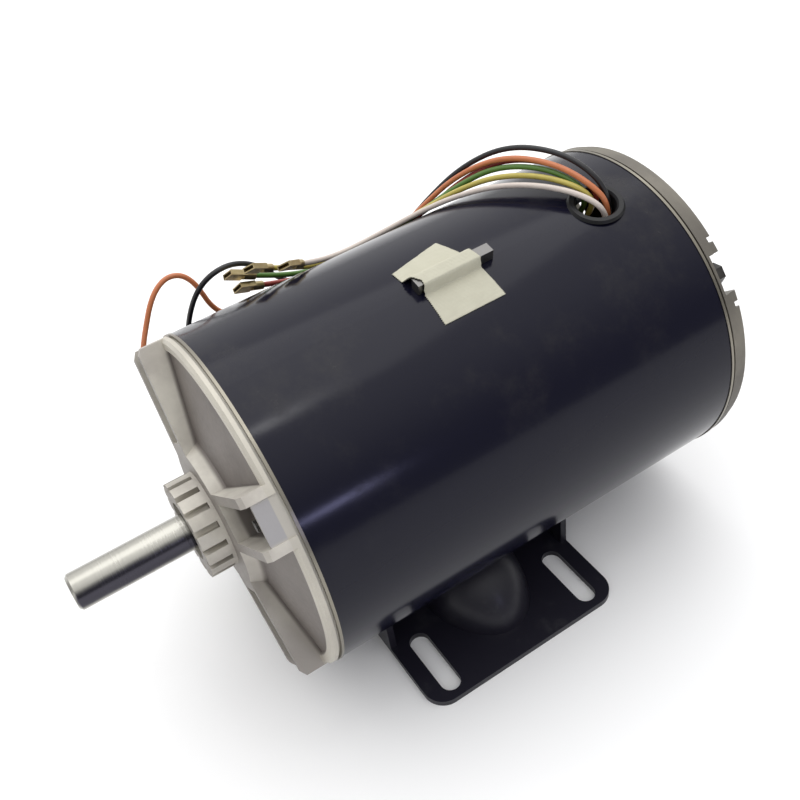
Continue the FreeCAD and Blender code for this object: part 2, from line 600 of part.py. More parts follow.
HEAD_SEAT = "(shell_rear - rear_band + notch_depth)"
NUT_SEAT = "(channel_floor + washer_thickness)"
HEX_REACH = "bolt_head_flats / sqrt(3)"
FLAT_OUTWARD = 30.0
bolt_head = part_object("Part::Prism", "bolt_head", {
    "Circumradius": HEX_REACH,
    "Height": "bolt_head_height",
}, ("bolt_circle", "0", HEAD_SEAT + " - bolt_head_height"))
bolt_shank = part_object("Part::Cylinder", "bolt_shank", {
    "Radius": "bolt_radius",
    "Height": NUT_SEAT + " + nut_height + bolt_tip - " + HEAD_SEAT,
}, ("bolt_circle", "0", HEAD_SEAT))
through_bolt = joined("through_bolt", "Part::Fuse", bolt_head, bolt_shank)
nut_hex = part_object("Part::Prism", "nut_hex", {
    "Circumradius": HEX_REACH,
    "Height": "nut_height",
}, ("bolt_circle", "0", NUT_SEAT))
for hexagon in (bolt_head, nut_hex):
    hexagon.Placement.Rotation = Rotation(Vector(0, 0, 1), FLAT_OUTWARD)
nut_bore = part_object("Part::Cylinder", "nut_bore", {
    "Radius": "bolt_radius + fit_gap / 2",
    "Height": "nut_height",
}, ("bolt_circle", "0", NUT_SEAT))
nut = joined("nut", "Part::Cut", nut_hex, nut_bore)
washer_disc = part_object("Part::Cylinder", "washer_disc", {
    "Radius": "washer_radius",
    "Height": "washer_thickness",
}, ("bolt_circle", "0", "channel_floor"))
washer_bore = part_object("Part::Cylinder", "washer_bore", {
    "Radius": "bolt_radius + fit_gap",
    "Height": "washer_thickness",
}, ("bolt_circle", "0", "channel_floor"))
washer = joined("washer", "Part::Cut", washer_disc, washer_bore)
FASTENERS = (("through_bolts", through_bolt), ("through_bolt_nuts", nut), ("through_bolt_washers", washer))
for label, piece in FASTENERS:
    lay_on_axis(ring_of(label, piece.Shape, size("bolt_count")), turn_to("bolt_angle"))


# Foot: pressed plate with slots, two humps that rise to the shell, and a saddle flange at each end

foot_base = new_body("foot_base")
plate_outline = new_sketch(foot_base, "XY_Plane", "plate_outline")
rectangle(plate_outline, "-foot_half_width", "foot_half_width", "-foot_half_length", "foot_half_length")
plate = extrude(foot_base, "plate", plate_outline, "foot_sheet")
upright_edges = []
for index, edge in enumerate(plate.Shape.Edges, start=1):
    if abs(edge.tangentAt(edge.FirstParameter).z) > 0.99:
        upright_edges.append("Edge%d" % index)
corners = foot_base.newObject("PartDesign::Fillet", "corners")
corners.Base = (plate, upright_edges)
corners.Radius = size("foot_corner")
bind(corners, "Radius", "foot_corner")
doc.recompute()


def pressing(body, inset):
    """Two half ellipsoids side by side, this far inside the outside of the humps."""
    for side, sign in (("left", "-"), ("right", "")):
        primitive(body, "PartDesign::AdditiveEllipsoid", side + "_hump", {
            "Radius1": "hump_height - " + inset,
            "Radius2": "hump_half_width - " + inset,
            "Radius3": "hump_half_length - " + inset,
            "Angle1": "0",
        }, (sign + "hump_centre", "0", "0"), cuts=False)


def saddle(body, radius):
    """Takes a cylinder about the motor's axis out of a body of the foot."""
    outline = new_sketch(body, "XZ_Plane", "saddle_outline", "-foot_half_length - overrun")
    circle(outline, "0", "axis_height", radius)
    extrude(body, "saddle", outline, "2 * (foot_half_length + overrun)", cuts=True, reverse=True)


pressing(foot_base, "0")
hump_hollow = doc.addObject("PartDesign::Body", "hump_hollow")
pressing(hump_hollow, "foot_sheet")
saddle(hump_hollow, "shell_radius + fit_gap + foot_sheet")
solid_foot = volume_of(foot_base)
hollow_cut = foot_base.newObject("PartDesign::Boolean", "hollow_cut")
hollow_cut.setObjects([hump_hollow])
hollow_cut.Type = "Cut"
settle(foot_base, hollow_cut, solid_foot, cuts=True)
for end, sign in (("front", ""), ("rear", "-")):
    flange_outline = new_sketch(foot_base, "XY_Plane", end + "_flange_outline")
    near = sign + "(foot_half_length - foot_sheet)"
    far = sign + "foot_half_length"
    rectangle(flange_outline, "-flange_half_width", "flange_half_width", near, far)
    extrude(foot_base, end + "_flange", flange_outline, "flange_height")
saddle(foot_base, "shell_radius + fit_gap")
slots_outline = new_sketch(foot_base, "XY_Plane", "slots_outline")
for across in ("-slot_half_x", "slot_half_x"):
    for along in ("-slot_half_y", "slot_half_y"):
        long_hole(slots_outline, across, along, "slot_straight", "slot_radius")
extrude(foot_base, "slots", slots_outline, "foot_sheet", cuts=True, reverse=True)


# Stator: slotted lamination stack pressed in the shell, with notches for the through bolts

STACK_LENGTH = "stack_front - stack_rear"
stator_core = new_body("stator_core")
stack_outline = new_sketch(stator_core, "XY_Plane", "stack_outline", "stack_rear")
circle(stack_outline, "0", "0", SPIGOT_RADIUS)
circle(stack_outline, "0", "0", "stator_bore")
extrude(stator_core, "stack", stack_outline, STACK_LENGTH)
slot_outline = new_sketch(stator_core, "XY_Plane", "slot_outline", "stack_rear")
TOOTH_TIP = "(stator_bore + slot_lip)"
SLOT_TOP = "(stator_bore + slot_lip + slot_lip / 2)"
polygon(slot_outline, [
    ("stator_bore - air_gap", "-slot_mouth / 2"),
    (TOOTH_TIP, "-slot_mouth / 2"),
    (SLOT_TOP, "-slot_inner_width / 2"),
    ("slot_bottom", "-slot_outer_width / 2"),
    ("slot_bottom", "slot_outer_width / 2"),
    (SLOT_TOP, "slot_inner_width / 2"),
    (TOOTH_TIP, "slot_mouth / 2"),
    ("stator_bore - air_gap", "slot_mouth / 2"),
])
slot = extrude(stator_core, "slot", slot_outline, STACK_LENGTH, cuts=True, reverse=True)
around(stator_core, "slots", [slot], "slot_count", cuts=True)
bolt_way_outline = new_sketch(stator_core, "XY_Plane", "bolt_way_outline", "stack_rear")
HALF_NOTCH = "bolt_notch_width / 2"
rectangle(bolt_way_outline, "bolt_notch_inner", "shell_radius", "-" + HALF_NOTCH, HALF_NOTCH)
bolt_way = extrude(stator_core, "bolt_way", bolt_way_outline, STACK_LENGTH, cuts=True, reverse=True)
around(stator_core, "bolt_ways", [bolt_way], "bolt_count", cuts=True)
lay_on_axis(stator_core, turn_to("bolt_angle"))

# Winding: the copper in the slots and the laced end turns at both ends are one coil group

stator_winding = new_body("stator_winding")
for end, face, sign in (("front", "stack_front", "+"), ("rear", "stack_rear", "-")):
    seat = "%s %s fit_gap" % (face, sign)
    crown = "%s %s overhang_length" % (face, sign)
    shoulder = "%s %s (overhang_length - overhang_round)" % (face, sign)
    revolve(stator_winding, end + "_overhang", [
        ("overhang_inner", seat),
        ("slot_bottom", seat),
        ("overhang_outer", "%s %s overhang_round" % (face, sign)),
        ("overhang_outer", shoulder),
        ("overhang_outer - overhang_round", crown),
        ("overhang_inner + overhang_round / 2", crown),
        ("overhang_inner", shoulder),
    ])
    if end == "front":
        coil_outline = new_sketch(stator_winding, "XY_Plane", "coil_outline", "stack_rear - overhang_round")
        polygon(coil_outline, [
            (SLOT_TOP + " + slot_lining", "-slot_inner_width / 2 + slot_lining"),
            ("slot_bottom - slot_lining", "-slot_outer_width / 2 + slot_lining"),
            ("slot_bottom - slot_lining", "slot_outer_width / 2 - slot_lining"),
            (SLOT_TOP + " + slot_lining", "slot_inner_width / 2 - slot_lining"),
        ])
        coil_length = "stack_front - stack_rear + 2 * overhang_round"
        coil_side = extrude(stator_winding, "coil_side", coil_outline, coil_length)
        around(stator_winding, "coil_sides", [coil_side], "slot_count", cuts=False)
lay_on_axis(stator_winding, turn_to("bolt_angle"))


# Shaft: turned steel, shouldered for both bearings, with a keyway below at the drive end

shaft = new_body("shaft")
FRONT_SHOULDER = "(front_bearing - bearing_width / 2)"
REAR_SHOULDER = "(rear_bearing + bearing_width / 2)"
FRONT_STEP = "(front_bearing + bearing_width / 2 + 2 * retainer_thickness)"
SHAFT_REAR = "(rear_bearing - bearing_width / 2 - shaft_room / 2)"
revolve(shaft, "turned", [
    ("0", SHAFT_REAR),
    ("bearing_bore", SHAFT_REAR),
    ("bearing_bore", REAR_SHOULDER),
    ("shaft_body_radius", REAR_SHOULDER),
    ("shaft_body_radius", FRONT_SHOULDER),
    ("bearing_bore", FRONT_SHOULDER),
    ("bearing_bore", FRONT_STEP),
    ("shaft_radius", FRONT_STEP),
    ("shaft_radius", "shaft_end - shaft_chamfer"),
    ("shaft_radius - shaft_chamfer", "shaft_end"),
    ("0", "shaft_end"),
])
keyway_outline = new_sketch(shaft, "XY_Plane", "keyway_outline", "shaft_end - key_length")
KEYWAY_FLOOR = "shaft_radius - key_side / 2"
rectangle(keyway_outline, "-key_side / 2", "key_side / 2", KEYWAY_FLOOR, "shaft_radius + overrun")
keyway_outline.AttachmentOffset = Placement(
    keyway_outline.AttachmentOffset.Base,
    Rotation(Vector(0, 0, 1), size("keyway_turn")),
)
extrude(shaft, "keyway", keyway_outline, "key_length + overrun", cuts=True, reverse=True)
lay_on_axis(shaft)

# Rotor: lamination stack on the shaft, with a cast cage of bars, end rings and fan blades

rotor_core = new_body("rotor_core")
ROTOR_RADIUS = "(stator_bore - air_gap)"
rotor_outline = new_sketch(rotor_core, "XY_Plane", "rotor_outline", "stack_rear")
circle(rotor_outline, "0", "0", ROTOR_RADIUS)
circle(rotor_outline, "0", "0", "shaft_body_radius + press_gap")
extrude(rotor_core, "stack", rotor_outline, STACK_LENGTH)
bar_hole_outline = new_sketch(rotor_core, "XY_Plane", "bar_hole_outline", "stack_rear")
circle(bar_hole_outline, "bar_circle", "0", "bar_radius + fit_gap")
bar_hole = extrude(rotor_core, "bar_hole", bar_hole_outline, STACK_LENGTH, cuts=True, reverse=True)
around(rotor_core, "bar_holes", [bar_hole], "bar_count", cuts=True)
lay_on_axis(rotor_core)

rotor_cage = new_body("rotor_cage")
for end, face, sign in (("front", "stack_front", "+"), ("rear", "stack_rear", "-")):
    ring_end = "%s %s end_ring_length" % (face, sign)
    revolve(rotor_cage, end + "_end_ring", [
        ("end_ring_inner", "%s %s fit_gap" % (face, sign)),
        (ROTOR_RADIUS, "%s %s fit_gap" % (face, sign)),
        (ROTOR_RADIUS + " - draft", ring_end),
        ("end_ring_inner + draft", ring_end),
    ])
    if end == "front":
        bar_outline = new_sketch(rotor_cage, "XY_Plane", "bar_outline", "stack_rear - end_ring_length / 2")
        circle(bar_outline, "bar_circle", "0", "bar_radius")
        bar = extrude(rotor_cage, "bar", bar_outline, "stack_front - stack_rear + end_ring_length")
        around(rotor_cage, "bars", [bar], "bar_count", cuts=False)
for end, face, sign in (("front", "stack_front", "+"), ("rear", "stack_rear", "-")):
    blade_root = "%s %s end_ring_length / 2" % (face, sign)
    blade_outline = new_sketch(rotor_cage, "XY_Plane", end + "_blade_outline", blade_root)
    low = "end_ring_inner + 2 * draft"
    high = ROTOR_RADIUS + " - 2 * draft"
    rectangle(blade_outline, low, high, "-blade_thickness / 2", "blade_thickness / 2")
    blade_reach = "end_ring_length / 2 + blade_length"
    blade = extrude(rotor_cage, end + "_blade", blade_outline, blade_reach, reverse=sign == "-")
    around(rotor_cage, end + "_blades", [blade], "blade_count", cuts=False)
lay_on_axis(rotor_cage)

retainer = new_body("shaft_retaining_ring")
RETAINER_SEAT = "(front_bearing + bearing_width / 2)"
revolve(retainer, "snap_ring", [
    ("bearing_bore + press_gap", RETAINER_SEAT),
    ("retainer_radius", RETAINER_SEAT),
    ("retainer_radius", RETAINER_SEAT + " + retainer_thickness"),
    ("bearing_bore + press_gap", RETAINER_SEAT + " + retainer_thickness"),
])
lay_on_axis(retainer)


# Bearings: deep-groove ball bearings, each with two races, a ball cage, balls and two shields

BALL_CIRCLE = "((bearing_bore + bearing_radius) / 2)"
HALF_WIDTH = "bearing_width / 2"


def race(label, inner, outer, station):
    body = new_body(label)
    revolve(body, "ring", [
        (inner, "-" + HALF_WIDTH),
        (outer, "-" + HALF_WIDTH),
        (outer, HALF_WIDTH),
        (inner, HALF_WIDTH),
    ])
    primitive(body, "PartDesign::SubtractiveTorus", "groove", {
        "Radius1": BALL_CIRCLE,
        "Radius2": "ball_radius + ball_gap",
    }, ("0", "0", "0"), cuts=True)
    lay_on_axis(body, station=station)


def ball_cage(label, station):
    body = new_body(label)
    revolve(body, "ribbon", [
        (BALL_CIRCLE + " - cage_wall / 2", "-cage_half_width"),
        (BALL_CIRCLE + " + cage_wall / 2", "-cage_half_width"),
        (BALL_CIRCLE + " + cage_wall / 2", "cage_half_width"),
        (BALL_CIRCLE + " - cage_wall / 2", "cage_half_width"),
    ])
    pocket_outline = new_sketch(body, "YZ_Plane", "pocket_outline")
    circle(pocket_outline, "0", "0", "ball_radius + ball_gap")
    pocket = extrude(body, "pocket", pocket_outline, BALL_CIRCLE + " + overrun", cuts=True, reverse=True)
    around(body, "pockets", [pocket], "ball_count", cuts=True)
    lay_on_axis(body, station=station)


def shields(label, station):
    discs = []
    inner = size(BALL_CIRCLE + " - race_land + shield_clearance")
    outer = size(BALL_CIRCLE + " + race_land - fit_gap")
    thickness = size("shield_thickness")
    near = size("shield_inset - " + HALF_WIDTH)
    far = size(HALF_WIDTH + " - shield_inset - shield_thickness")
    for level in (near, far):
        disc = Part.makeCylinder(outer, thickness, Vector(0, 0, level))
        discs.append(disc.cut(Part.makeCylinder(inner, thickness, Vector(0, 0, level))))
    lay_on_axis(shaped(label, Part.makeCompound(discs)), station=station)


for end, station in (("front", "front_bearing"), ("rear", "rear_bearing")):
    race(end + "_bearing_inner_race", "bearing_bore + press_gap", BALL_CIRCLE + " - race_land", station)
    race(end + "_bearing_outer_race", BALL_CIRCLE + " + race_land", "bearing_radius", station)
    ball_cage(end + "_bearing_cage", station)
    one_ball = Part.makeSphere(size("ball_radius"), Vector(size(BALL_CIRCLE), 0, 0))
    lay_on_axis(ring_of(end + "_bearing_balls", one_ball, size("ball_count")), station=station)
    shields(end + "_bearing_shields", station)

# Wave spring: a thin strip bent into three waves, which loads the rear bearing

WAVES = 3
SPRING_POINTS = 24
spring_rims = []
for radius in (size("spring_inner"), size("spring_outer")):
    amplitude = size("(spring_height - spring_sheet) / 2")
    points = []
    for index in range(SPRING_POINTS):
        around_spring = 2 * math.pi * index / SPRING_POINTS
        level = amplitude * math.cos(WAVES * around_spring)
        points.append(Vector(radius * math.cos(around_spring), radius * math.sin(around_spring), level))
    rim = Part.BSplineCurve()
    rim.interpolate(points, PeriodicFlag=True)
    spring_rims.append(rim.toShape())
strip = Part.makeRuledSurface(spring_rims[0], spring_rims[1]).extrude(Vector(0, 0, size("spring_sheet")))
SPRING_MIDDLE = "rear_bearing - (bearing_width + spring_height + spring_sheet + fit_gap) / 2"
lay_on_axis(shaped("wave_spring", strip), station=SPRING_MIDDLE)


# Shaft key and the paper tape that holds it on the shell for shipping

key_seat = on_shell(size("key_station"), size("key_angle"), size("fit_gap"))
lean = Rotation(Vector(0, 1, 0), -size("key_angle"))
shaft_key = part_object("Part::Box", "shaft_key", {
    "Length": "key_side",
    "Width": "key_length",
    "Height": "key_side",
})
middle = Vector(size("key_side / 2"), size("key_length / 2"), 0)
shaft_key.Placement = Placement(key_seat - lean.multVec(middle), lean)
node(shaft_key, "shaft_key")

# The tape lies on the shell, climbs over the key and comes down again on its other side


def tape_edge(offset):
    """Corners of one face of the tape from its upper to its lower edge, this far off shell and key."""
    half = size("key_side") / 2 + offset
    top = size("key_side + fit_gap") + offset
    foot_reach = size("tape_tent")
    low = size("fit_gap") / 2 + offset
    corner = size("key_angle")
    spread = math.degrees((half + foot_reach) / size("shell_radius"))
    inner = [Vector(-half, 0, top), Vector(half, 0, top)]
    raised = [key_seat + lean.multVec(item - Vector(0, 0, size("fit_gap"))) for item in inner]
    rows = [
        on_shell(0, size("tape_lower_angle"), low),
        on_shell(0, (size("tape_lower_angle") + corner + spread) / 2, low),
        on_shell(0, corner + spread, low),
        raised[0],
        raised[1],
        on_shell(0, corner - spread, low),
        on_shell(0, (size("tape_upper_angle") + corner - spread) / 2, low),
        on_shell(0, size("tape_upper_angle"), low),
    ]
    return [Vector(item.x, size("tape_station - tape_width / 2"), item.z) for item in rows]


under = tape_edge(size("fit_gap"))
over = tape_edge(size("fit_gap + tape_thickness"))


def tape_line(points):
    """Arc on the shell, straight over the key, arc on the shell."""
    return [
        Part.Arc(points[0], points[1], points[2]).toShape(),
        Part.LineSegment(points[2], points[3]).toShape(),
        Part.LineSegment(points[3], points[4]).toShape(),
        Part.LineSegment(points[4], points[5]).toShape(),
        Part.Arc(points[5], points[6], points[7]).toShape(),
    ]


tape_outline = tape_line(under)
tape_outline.append(Part.LineSegment(under[-1], over[-1]).toShape())
tape_outline.extend(tape_line(over))
tape_outline.append(Part.LineSegment(over[0], under[0]).toShape())
tape_face = Part.Face(Part.Wire(Part.sortEdges(tape_outline)[0]))
shaped("key_tape", tape_face.extrude(Vector(0, size("tape_width"), 0)))


# Grommet: rubber ring in the lead hole, one lip over the shell and one under it

grommet = new_body("lead_grommet")
SAG = "(lead_hole_radius * lead_hole_radius / shell_radius)"
OVER = "(shell_radius + fit_gap / 2)"
UNDER = "(shell_radius - shell_wall - " + SAG + ")"
revolve(grommet, "moulding", [
    ("grommet_bore", UNDER + " - grommet_inner_lip"),
    ("grommet_flange - grommet_bevel", UNDER + " - grommet_inner_lip"),
    ("grommet_flange - grommet_bevel", UNDER),
    ("lead_hole_radius - fit_gap", UNDER),
    ("lead_hole_radius - fit_gap", OVER),
    ("grommet_flange", OVER),
    ("grommet_flange - grommet_bevel", OVER + " + grommet_lip"),
    ("grommet_bore + grommet_bevel", OVER + " + grommet_lip"),
    ("grommet_bore", OVER + " + grommet_lip - grommet_bevel"),
])
grommet.Placement = Placement(
    Vector(0, size("lead_hole_station"), size("axis_height")),
    Rotation(Vector(0, 1, 0), -size("lead_hole_angle")),
)
bind(grommet, "Placement.Base.y", "lead_hole_station")
bind(grommet, "Placement.Base.z", "axis_height")


# Leads: six insulated wires out of the hole, over the shell's far shoulder and forward along it.
# A route's points are station along Y, angle about the shaft, and height above the shell.

LEAD_ROUTES = {
    "black": [
        (-97, 14.2, -9.6), (-96.5, 12.8, -0.5), (-93.5, 8, 9), (-88, -3, 15.5), (-79, -18, 17.5),
        (-68.5, -33, 13), (-57, -48.4, 7.6), (-41, -61.5, 2.8), (-18, -70, 2.4), (3, -70, 3.6),
        (18, -60, 8), (26.5, -51.5, 12), (34, -46, 15.2), (42.5, -43.2, 17), (51.5, -44, 15.8),
        (58.5, -48, 12.5), (63.5, -54.5, 8), (66.5, -62.5, 4.6), (67.5, -71.5, 2.8), (67, -80, 2.4),
    ],
    "orange": [
        (-93.4, 14.6, -9.6), (-92.9, 13.4, -0.5), (-89.7, 8.2, 7.5), (-84, -3.5, 12.5), (-75, -18.5, 13.5),
        (-64.5, -34, 9.8), (-52.5, -49.5, 5.4), (-37, -60.4, 2.6), (-14, -66.2, 2), (10, -65.4, 2),
        (31, -63.5, 2.2), (43, -62, 2.8), (51, -60, 4.8), (55.4, -56.4, 9), (56.8, -53, 14),
        (58.6, -50.6, 19), (62.4, -49.2, 23), (68.4, -49, 24.2), (74.2, -49.8, 21.8), (78.8, -51.6, 17.4),
        (82.4, -54.6, 12.6), (86, -58.8, 8), (88.8, -64, 3.9), (88.2, -71.2, 3),
    ],
    "red": [
        (-96.6, 10.4, -9.6), (-96, 9, -0.5), (-92.8, 4, 6), (-86.5, -7, 10), (-77.5, -20, 10.5),
        (-67, -32.5, 6.8), (-56, -43.8, 3), (-41, -53.4, 2.1), (-20, -59.6, 2), (1, -59, 2),
        (18, -54.6, 2.6), (31, -49.5, 4.2),
    ],
    "green": [
        (-93, 10.4, -9.6), (-92.3, 9.2, -0.5), (-88.8, 4.4, 5.2), (-82.5, -6.5, 8), (-73, -19.5, 8),
        (-62.5, -31.5, 5), (-51, -43, 2.7), (-36, -51.4, 2), (-16, -56.2, 1.9), (5, -54.4, 2),
        (21, -48.8, 3.8), (34, -44.2, 8),
    ],
    "yellow": [
        (-90, 11.4, -9), (-89, 9.8, -0.3), (-85.6, 5, 5.6), (-78.5, -5.5, 6), (-69, -18, 5.4),
        (-58.5, -30, 3.4), (-47, -41, 2.2), (-31, -48.8, 1.9), (-13, -53, 1.9), (5, -50, 2),
        (18, -43.4, 4.2), (28, -38.5, 7),
    ],
    "white": [
        (-90, 14.6, -9), (-89.2, 13.6, -0.3), (-84.8, 8.6, 5), (-77, -0.5, 5.2), (-66.5, -12.5, 4.6),
        (-56, -25, 2.9), (-44.5, -37, 2.1), (-28, -45.8, 1.9), (-10, -49, 1.9), (5, -44.6, 2),
        (15.5, -37.8, 3.4),
    ],
}
ARC_SHARE = 0.45
ROUTE_RADIUS = 75.0


def lead_place(station, angle, height):
    """Point of a route; on another shell its distance from the lead hole, round the shell, stays the same."""
    hole = size("lead_hole_angle")
    return on_shell(station, hole + (angle - hole) * ROUTE_RADIUS / size("shell_radius"), height)


def lead_path(points):
    """Straight runs joined by tangent arcs, each as large as its two runs allow; also the arcs' radii."""
    edges = []
    radii = []
    start = points[0]
    for before, corner, after in zip(points, points[1:], points[2:]):
        back = (before - corner).normalize()
        ahead = (after - corner).normalize()
        half_turn = (math.pi - back.getAngle(ahead)) / 2
        reach = ARC_SHARE * min((before - corner).Length, (after - corner).Length)
        radius = reach / math.tan(half_turn)
        inward = (back + ahead).normalize()
        arc_start = corner + back * reach
        arc_end = corner + ahead * reach
        arc_middle = corner + inward * (radius / math.cos(half_turn) - radius)
        edges.append(Part.LineSegment(start, arc_start).toShape())
        edges.append(Part.Arc(arc_start, arc_middle, arc_end).toShape())
        radii.append(radius)
        start = arc_end
    edges.append(Part.LineSegment(start, points[-1]).toShape())
    return Part.Wire(edges), radii


def lead(label, points):
    path, radii = lead_path(points)
    section_radius = size("lead_diameter / 2")
    section = Part.Wire(Part.makeCircle(section_radius, points[0], points[1] - points[0]))
    tube = path.makePipeShell([section], True, True)
    if tube.Volume < 0:
        tube.reverse()
    expected = math.pi * section_radius ** 2 * path.Length
    if abs(tube.Volume / expected - 1) > 0.02:
        raise RuntimeError("%s: volume %.1f, expected %.1f" % (label, tube.Volume, expected))
    print(label, "length %.1f" % path.Length, "radii", " ".join("%.0f" % radius for radius in radii))
    shaped(label, tube)


def lead_terminal(label, tip, direction):
    """Crimped push-on terminal: a barrel on the wire and a flat open socket, flat side to the shell."""
    barrel = Part.makeCylinder(size("barrel_radius"), size("barrel_length"))
    width = size("blade_socket_width")
    height = size("blade_socket_height")
    length = size("blade_socket_length")
    wall = size("blade_socket_wall")
    back = size("barrel_length")
    corner = Vector(-width / 2, -height / 2, back - wall)
    inner_corner = Vector(wall - width / 2, wall - height / 2, back + wall)
    socket = Part.makeBox(width, height, length, corner)
    hollow = Part.makeBox(width - 2 * wall, height - 2 * wall, length, inner_corner)
    terminal = shaped(label, barrel.fuse(socket).cut(hollow))
    outward = tip - Vector(0, tip.y, size("axis_height"))
    terminal.Placement = Placement(tip, Rotation(Vector(), outward, direction, "ZYX"))


for colour, route in LEAD_ROUTES.items():
    route_points = [lead_place(*point) for point in route]
    lead("lead_" + colour, route_points)
    lead_terminal("lead_%s_terminal" % colour, route_points[-1], route_points[-1] - route_points[-2])


# Checks, then one file for each sub-part

doc.recompute()
for thing in doc.Objects:
    if "Invalid" in thing.State or "Error" in thing.State:
        raise RuntimeError("%s failed: %s" % (thing.Label, thing.State))
for thing in NODES:
    if thing.Shape.isNull() or not thing.Shape.isValid() or not thing.Shape.Solids:
        raise RuntimeError("%s has no valid solid" % thing.Label)

os.makedirs("parts", exist_ok=True)
for thing in NODES:
    thing.Shape.exportStep("parts/%s.step" % thing.Label)
    print(thing.Label, len(thing.Shape.Solids), "%.1f" % thing.Shape.Volume)
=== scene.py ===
import math

import bmesh
import bpy
from mathutils import Matrix, Vector


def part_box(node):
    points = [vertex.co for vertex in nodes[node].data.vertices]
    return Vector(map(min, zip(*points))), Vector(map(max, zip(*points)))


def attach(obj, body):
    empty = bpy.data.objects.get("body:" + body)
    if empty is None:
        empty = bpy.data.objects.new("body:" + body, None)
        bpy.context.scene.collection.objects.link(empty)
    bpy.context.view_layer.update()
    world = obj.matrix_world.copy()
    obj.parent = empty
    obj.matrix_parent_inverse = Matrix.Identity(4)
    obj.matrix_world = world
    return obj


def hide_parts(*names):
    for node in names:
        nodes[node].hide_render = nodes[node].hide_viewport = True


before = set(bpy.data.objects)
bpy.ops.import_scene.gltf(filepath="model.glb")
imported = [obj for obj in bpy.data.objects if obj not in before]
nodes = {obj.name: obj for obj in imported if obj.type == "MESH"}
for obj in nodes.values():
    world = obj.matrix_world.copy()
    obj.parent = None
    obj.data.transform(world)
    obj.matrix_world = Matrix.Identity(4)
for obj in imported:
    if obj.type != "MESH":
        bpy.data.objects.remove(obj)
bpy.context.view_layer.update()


# Foot
# The foot is pressed from one steel sheet: two humps rise to cradle the shell, both ends are
# turned up against it, and four long slots take the bolts. It is sprayed satin black.

class Tone:
    """One socket of a material; sums of tones and numbers add Math nodes beside it."""

    def __init__(self, socket):
        self.socket = socket

    def node(self, kind, settings=None, inputs=None, output=0):
        """Adds one node: its settings are set first, then the values or links of its sockets."""
        tree = self.socket.id_data
        made = tree.nodes.new(kind)
        for name, value in (settings or {}).items():
            setattr(made, name, value)
        for name, value in (inputs or {}).items():
            if isinstance(value, Tone):
                tree.links.new(value.socket, made.inputs[name])
            else:
                made.inputs[name].default_value = value
        return Tone(made.outputs[output])

    def maths(self, operation, first, second=0.0):
        return self.node("ShaderNodeMath", {"operation": operation}, {0: first, 1: second})

    def __add__(self, other):
        return self.maths("ADD", self, other)

    __radd__ = __add__

    def __sub__(self, other):
        return self.maths("SUBTRACT", self, other)

    def __rsub__(self, other):
        return self.maths("SUBTRACT", other, self)

    def __mul__(self, other):
        return self.maths("MULTIPLY", self, other)

    __rmul__ = __mul__

    def __truediv__(self, other):
        return self.maths("DIVIDE", self, other)

    def __rtruediv__(self, other):
        return self.maths("DIVIDE", other, self)


def start_finish(name, colour, roughness, metallic=0.0, **plain):
    """A material with its shader's plain sockets set, that shader, and Object coordinates."""
    material = bpy.data.materials.new(name)
    material.use_nodes = True
    shader = material.node_tree.nodes["Principled BSDF"]
    shader.inputs["Base Color"].default_value = (*colour, 1.0)
    shader.inputs["Roughness"].default_value = roughness
    shader.inputs["Metallic"].default_value = metallic
    for words, value in plain.items():
        shader.inputs[words.replace("_", " ").title().replace("Ior", "IOR")].default_value = value
    place = Tone(material.node_tree.nodes.new("ShaderNodeTexCoord").outputs["Object"])
    return material, shader, place


def feed(shader, tones):
    """Links what changes over the surface to the shader."""
    for name, tone in tones.items():
        shader.id_data.links.new(tone.socket, shader.inputs[name])


def grain(place, scale, detail=3.0, roughness=0.55, stretch=(1.0, 1.0, 1.0)):
    """Noise from 0 to 1 over the surface; stretch squeezes it along an axis."""
    squeezed = place.node("ShaderNodeMapping", {}, {"Vector": place, "Scale": stretch})
    sockets = {"Vector": squeezed, "Scale": scale, "Detail": detail, "Roughness": roughness}
    return place.node("ShaderNodeTexNoise", {}, sockets)


def part_of(vector, axis):
    """One coordinate of a place or a normal."""
    return vector.node("ShaderNodeSeparateXYZ", {}, {"Vector": vector}, output=axis)


def rise(tone, low, high):
    """0 below low, 1 above high, with a smooth step between."""
    sockets = {"Value": tone, "From Min": low, "From Max": high}
    return tone.node("ShaderNodeMapRange", {"interpolation_type": "SMOOTHSTEP"}, sockets)


def mix_colours(factor, first, second):
    """Colour that goes from the first to the second as the factor goes from 0 to 1."""
    ends = [item if isinstance(item, Tone) else (*item, 1.0) for item in (first, second)]
    sockets = {0: factor, 6: ends[0], 7: ends[1]}
    return factor.node("ShaderNodeMix", {"data_type": "RGBA"}, sockets, output=2)


def relief(height, depth, strength):
    """Surface normal of a height from 0 to 1 that stands for a depth in metres."""
    sockets = {"Height": height, "Distance": depth, "Strength": strength}
    return height.node("ShaderNodeBump", {}, sockets)


def dress(material, *names):
    """Puts a material on CAD nodes."""
    for name in names:
        slots = nodes[name].data.materials
        slots.clear()
        slots.append(material)


FOOT_BLACK = (0.012, 0.0112, 0.0185)
FOOT_SCUFF = (0.022, 0.022, 0.028)
foot_enamel, shader, place = start_finish(
    "foot_enamel", FOOT_BLACK, roughness=0.4, specular_ior_level=0.32,
)
orange_peel = grain(place, scale=900.0)
scuffs = rise(grain(place, scale=60.0, detail=6.0, roughness=0.7), 0.56, 0.72)
feed(shader, {
    "Base Color": mix_colours(scuffs, FOOT_BLACK, FOOT_SCUFF),
    "Roughness": 0.32 + 0.2 * scuffs + 0.06 * orange_peel,
    "Normal": relief(orange_peel, depth=0.00004, strength=0.5),
})
dress(foot_enamel, "foot_base")


# Shell
# The shell is steel sheet rolled to a tube, welded and dipped in gloss navy-black enamel.
# It grips the stator, and one punched hole near its rear lets the leads out.

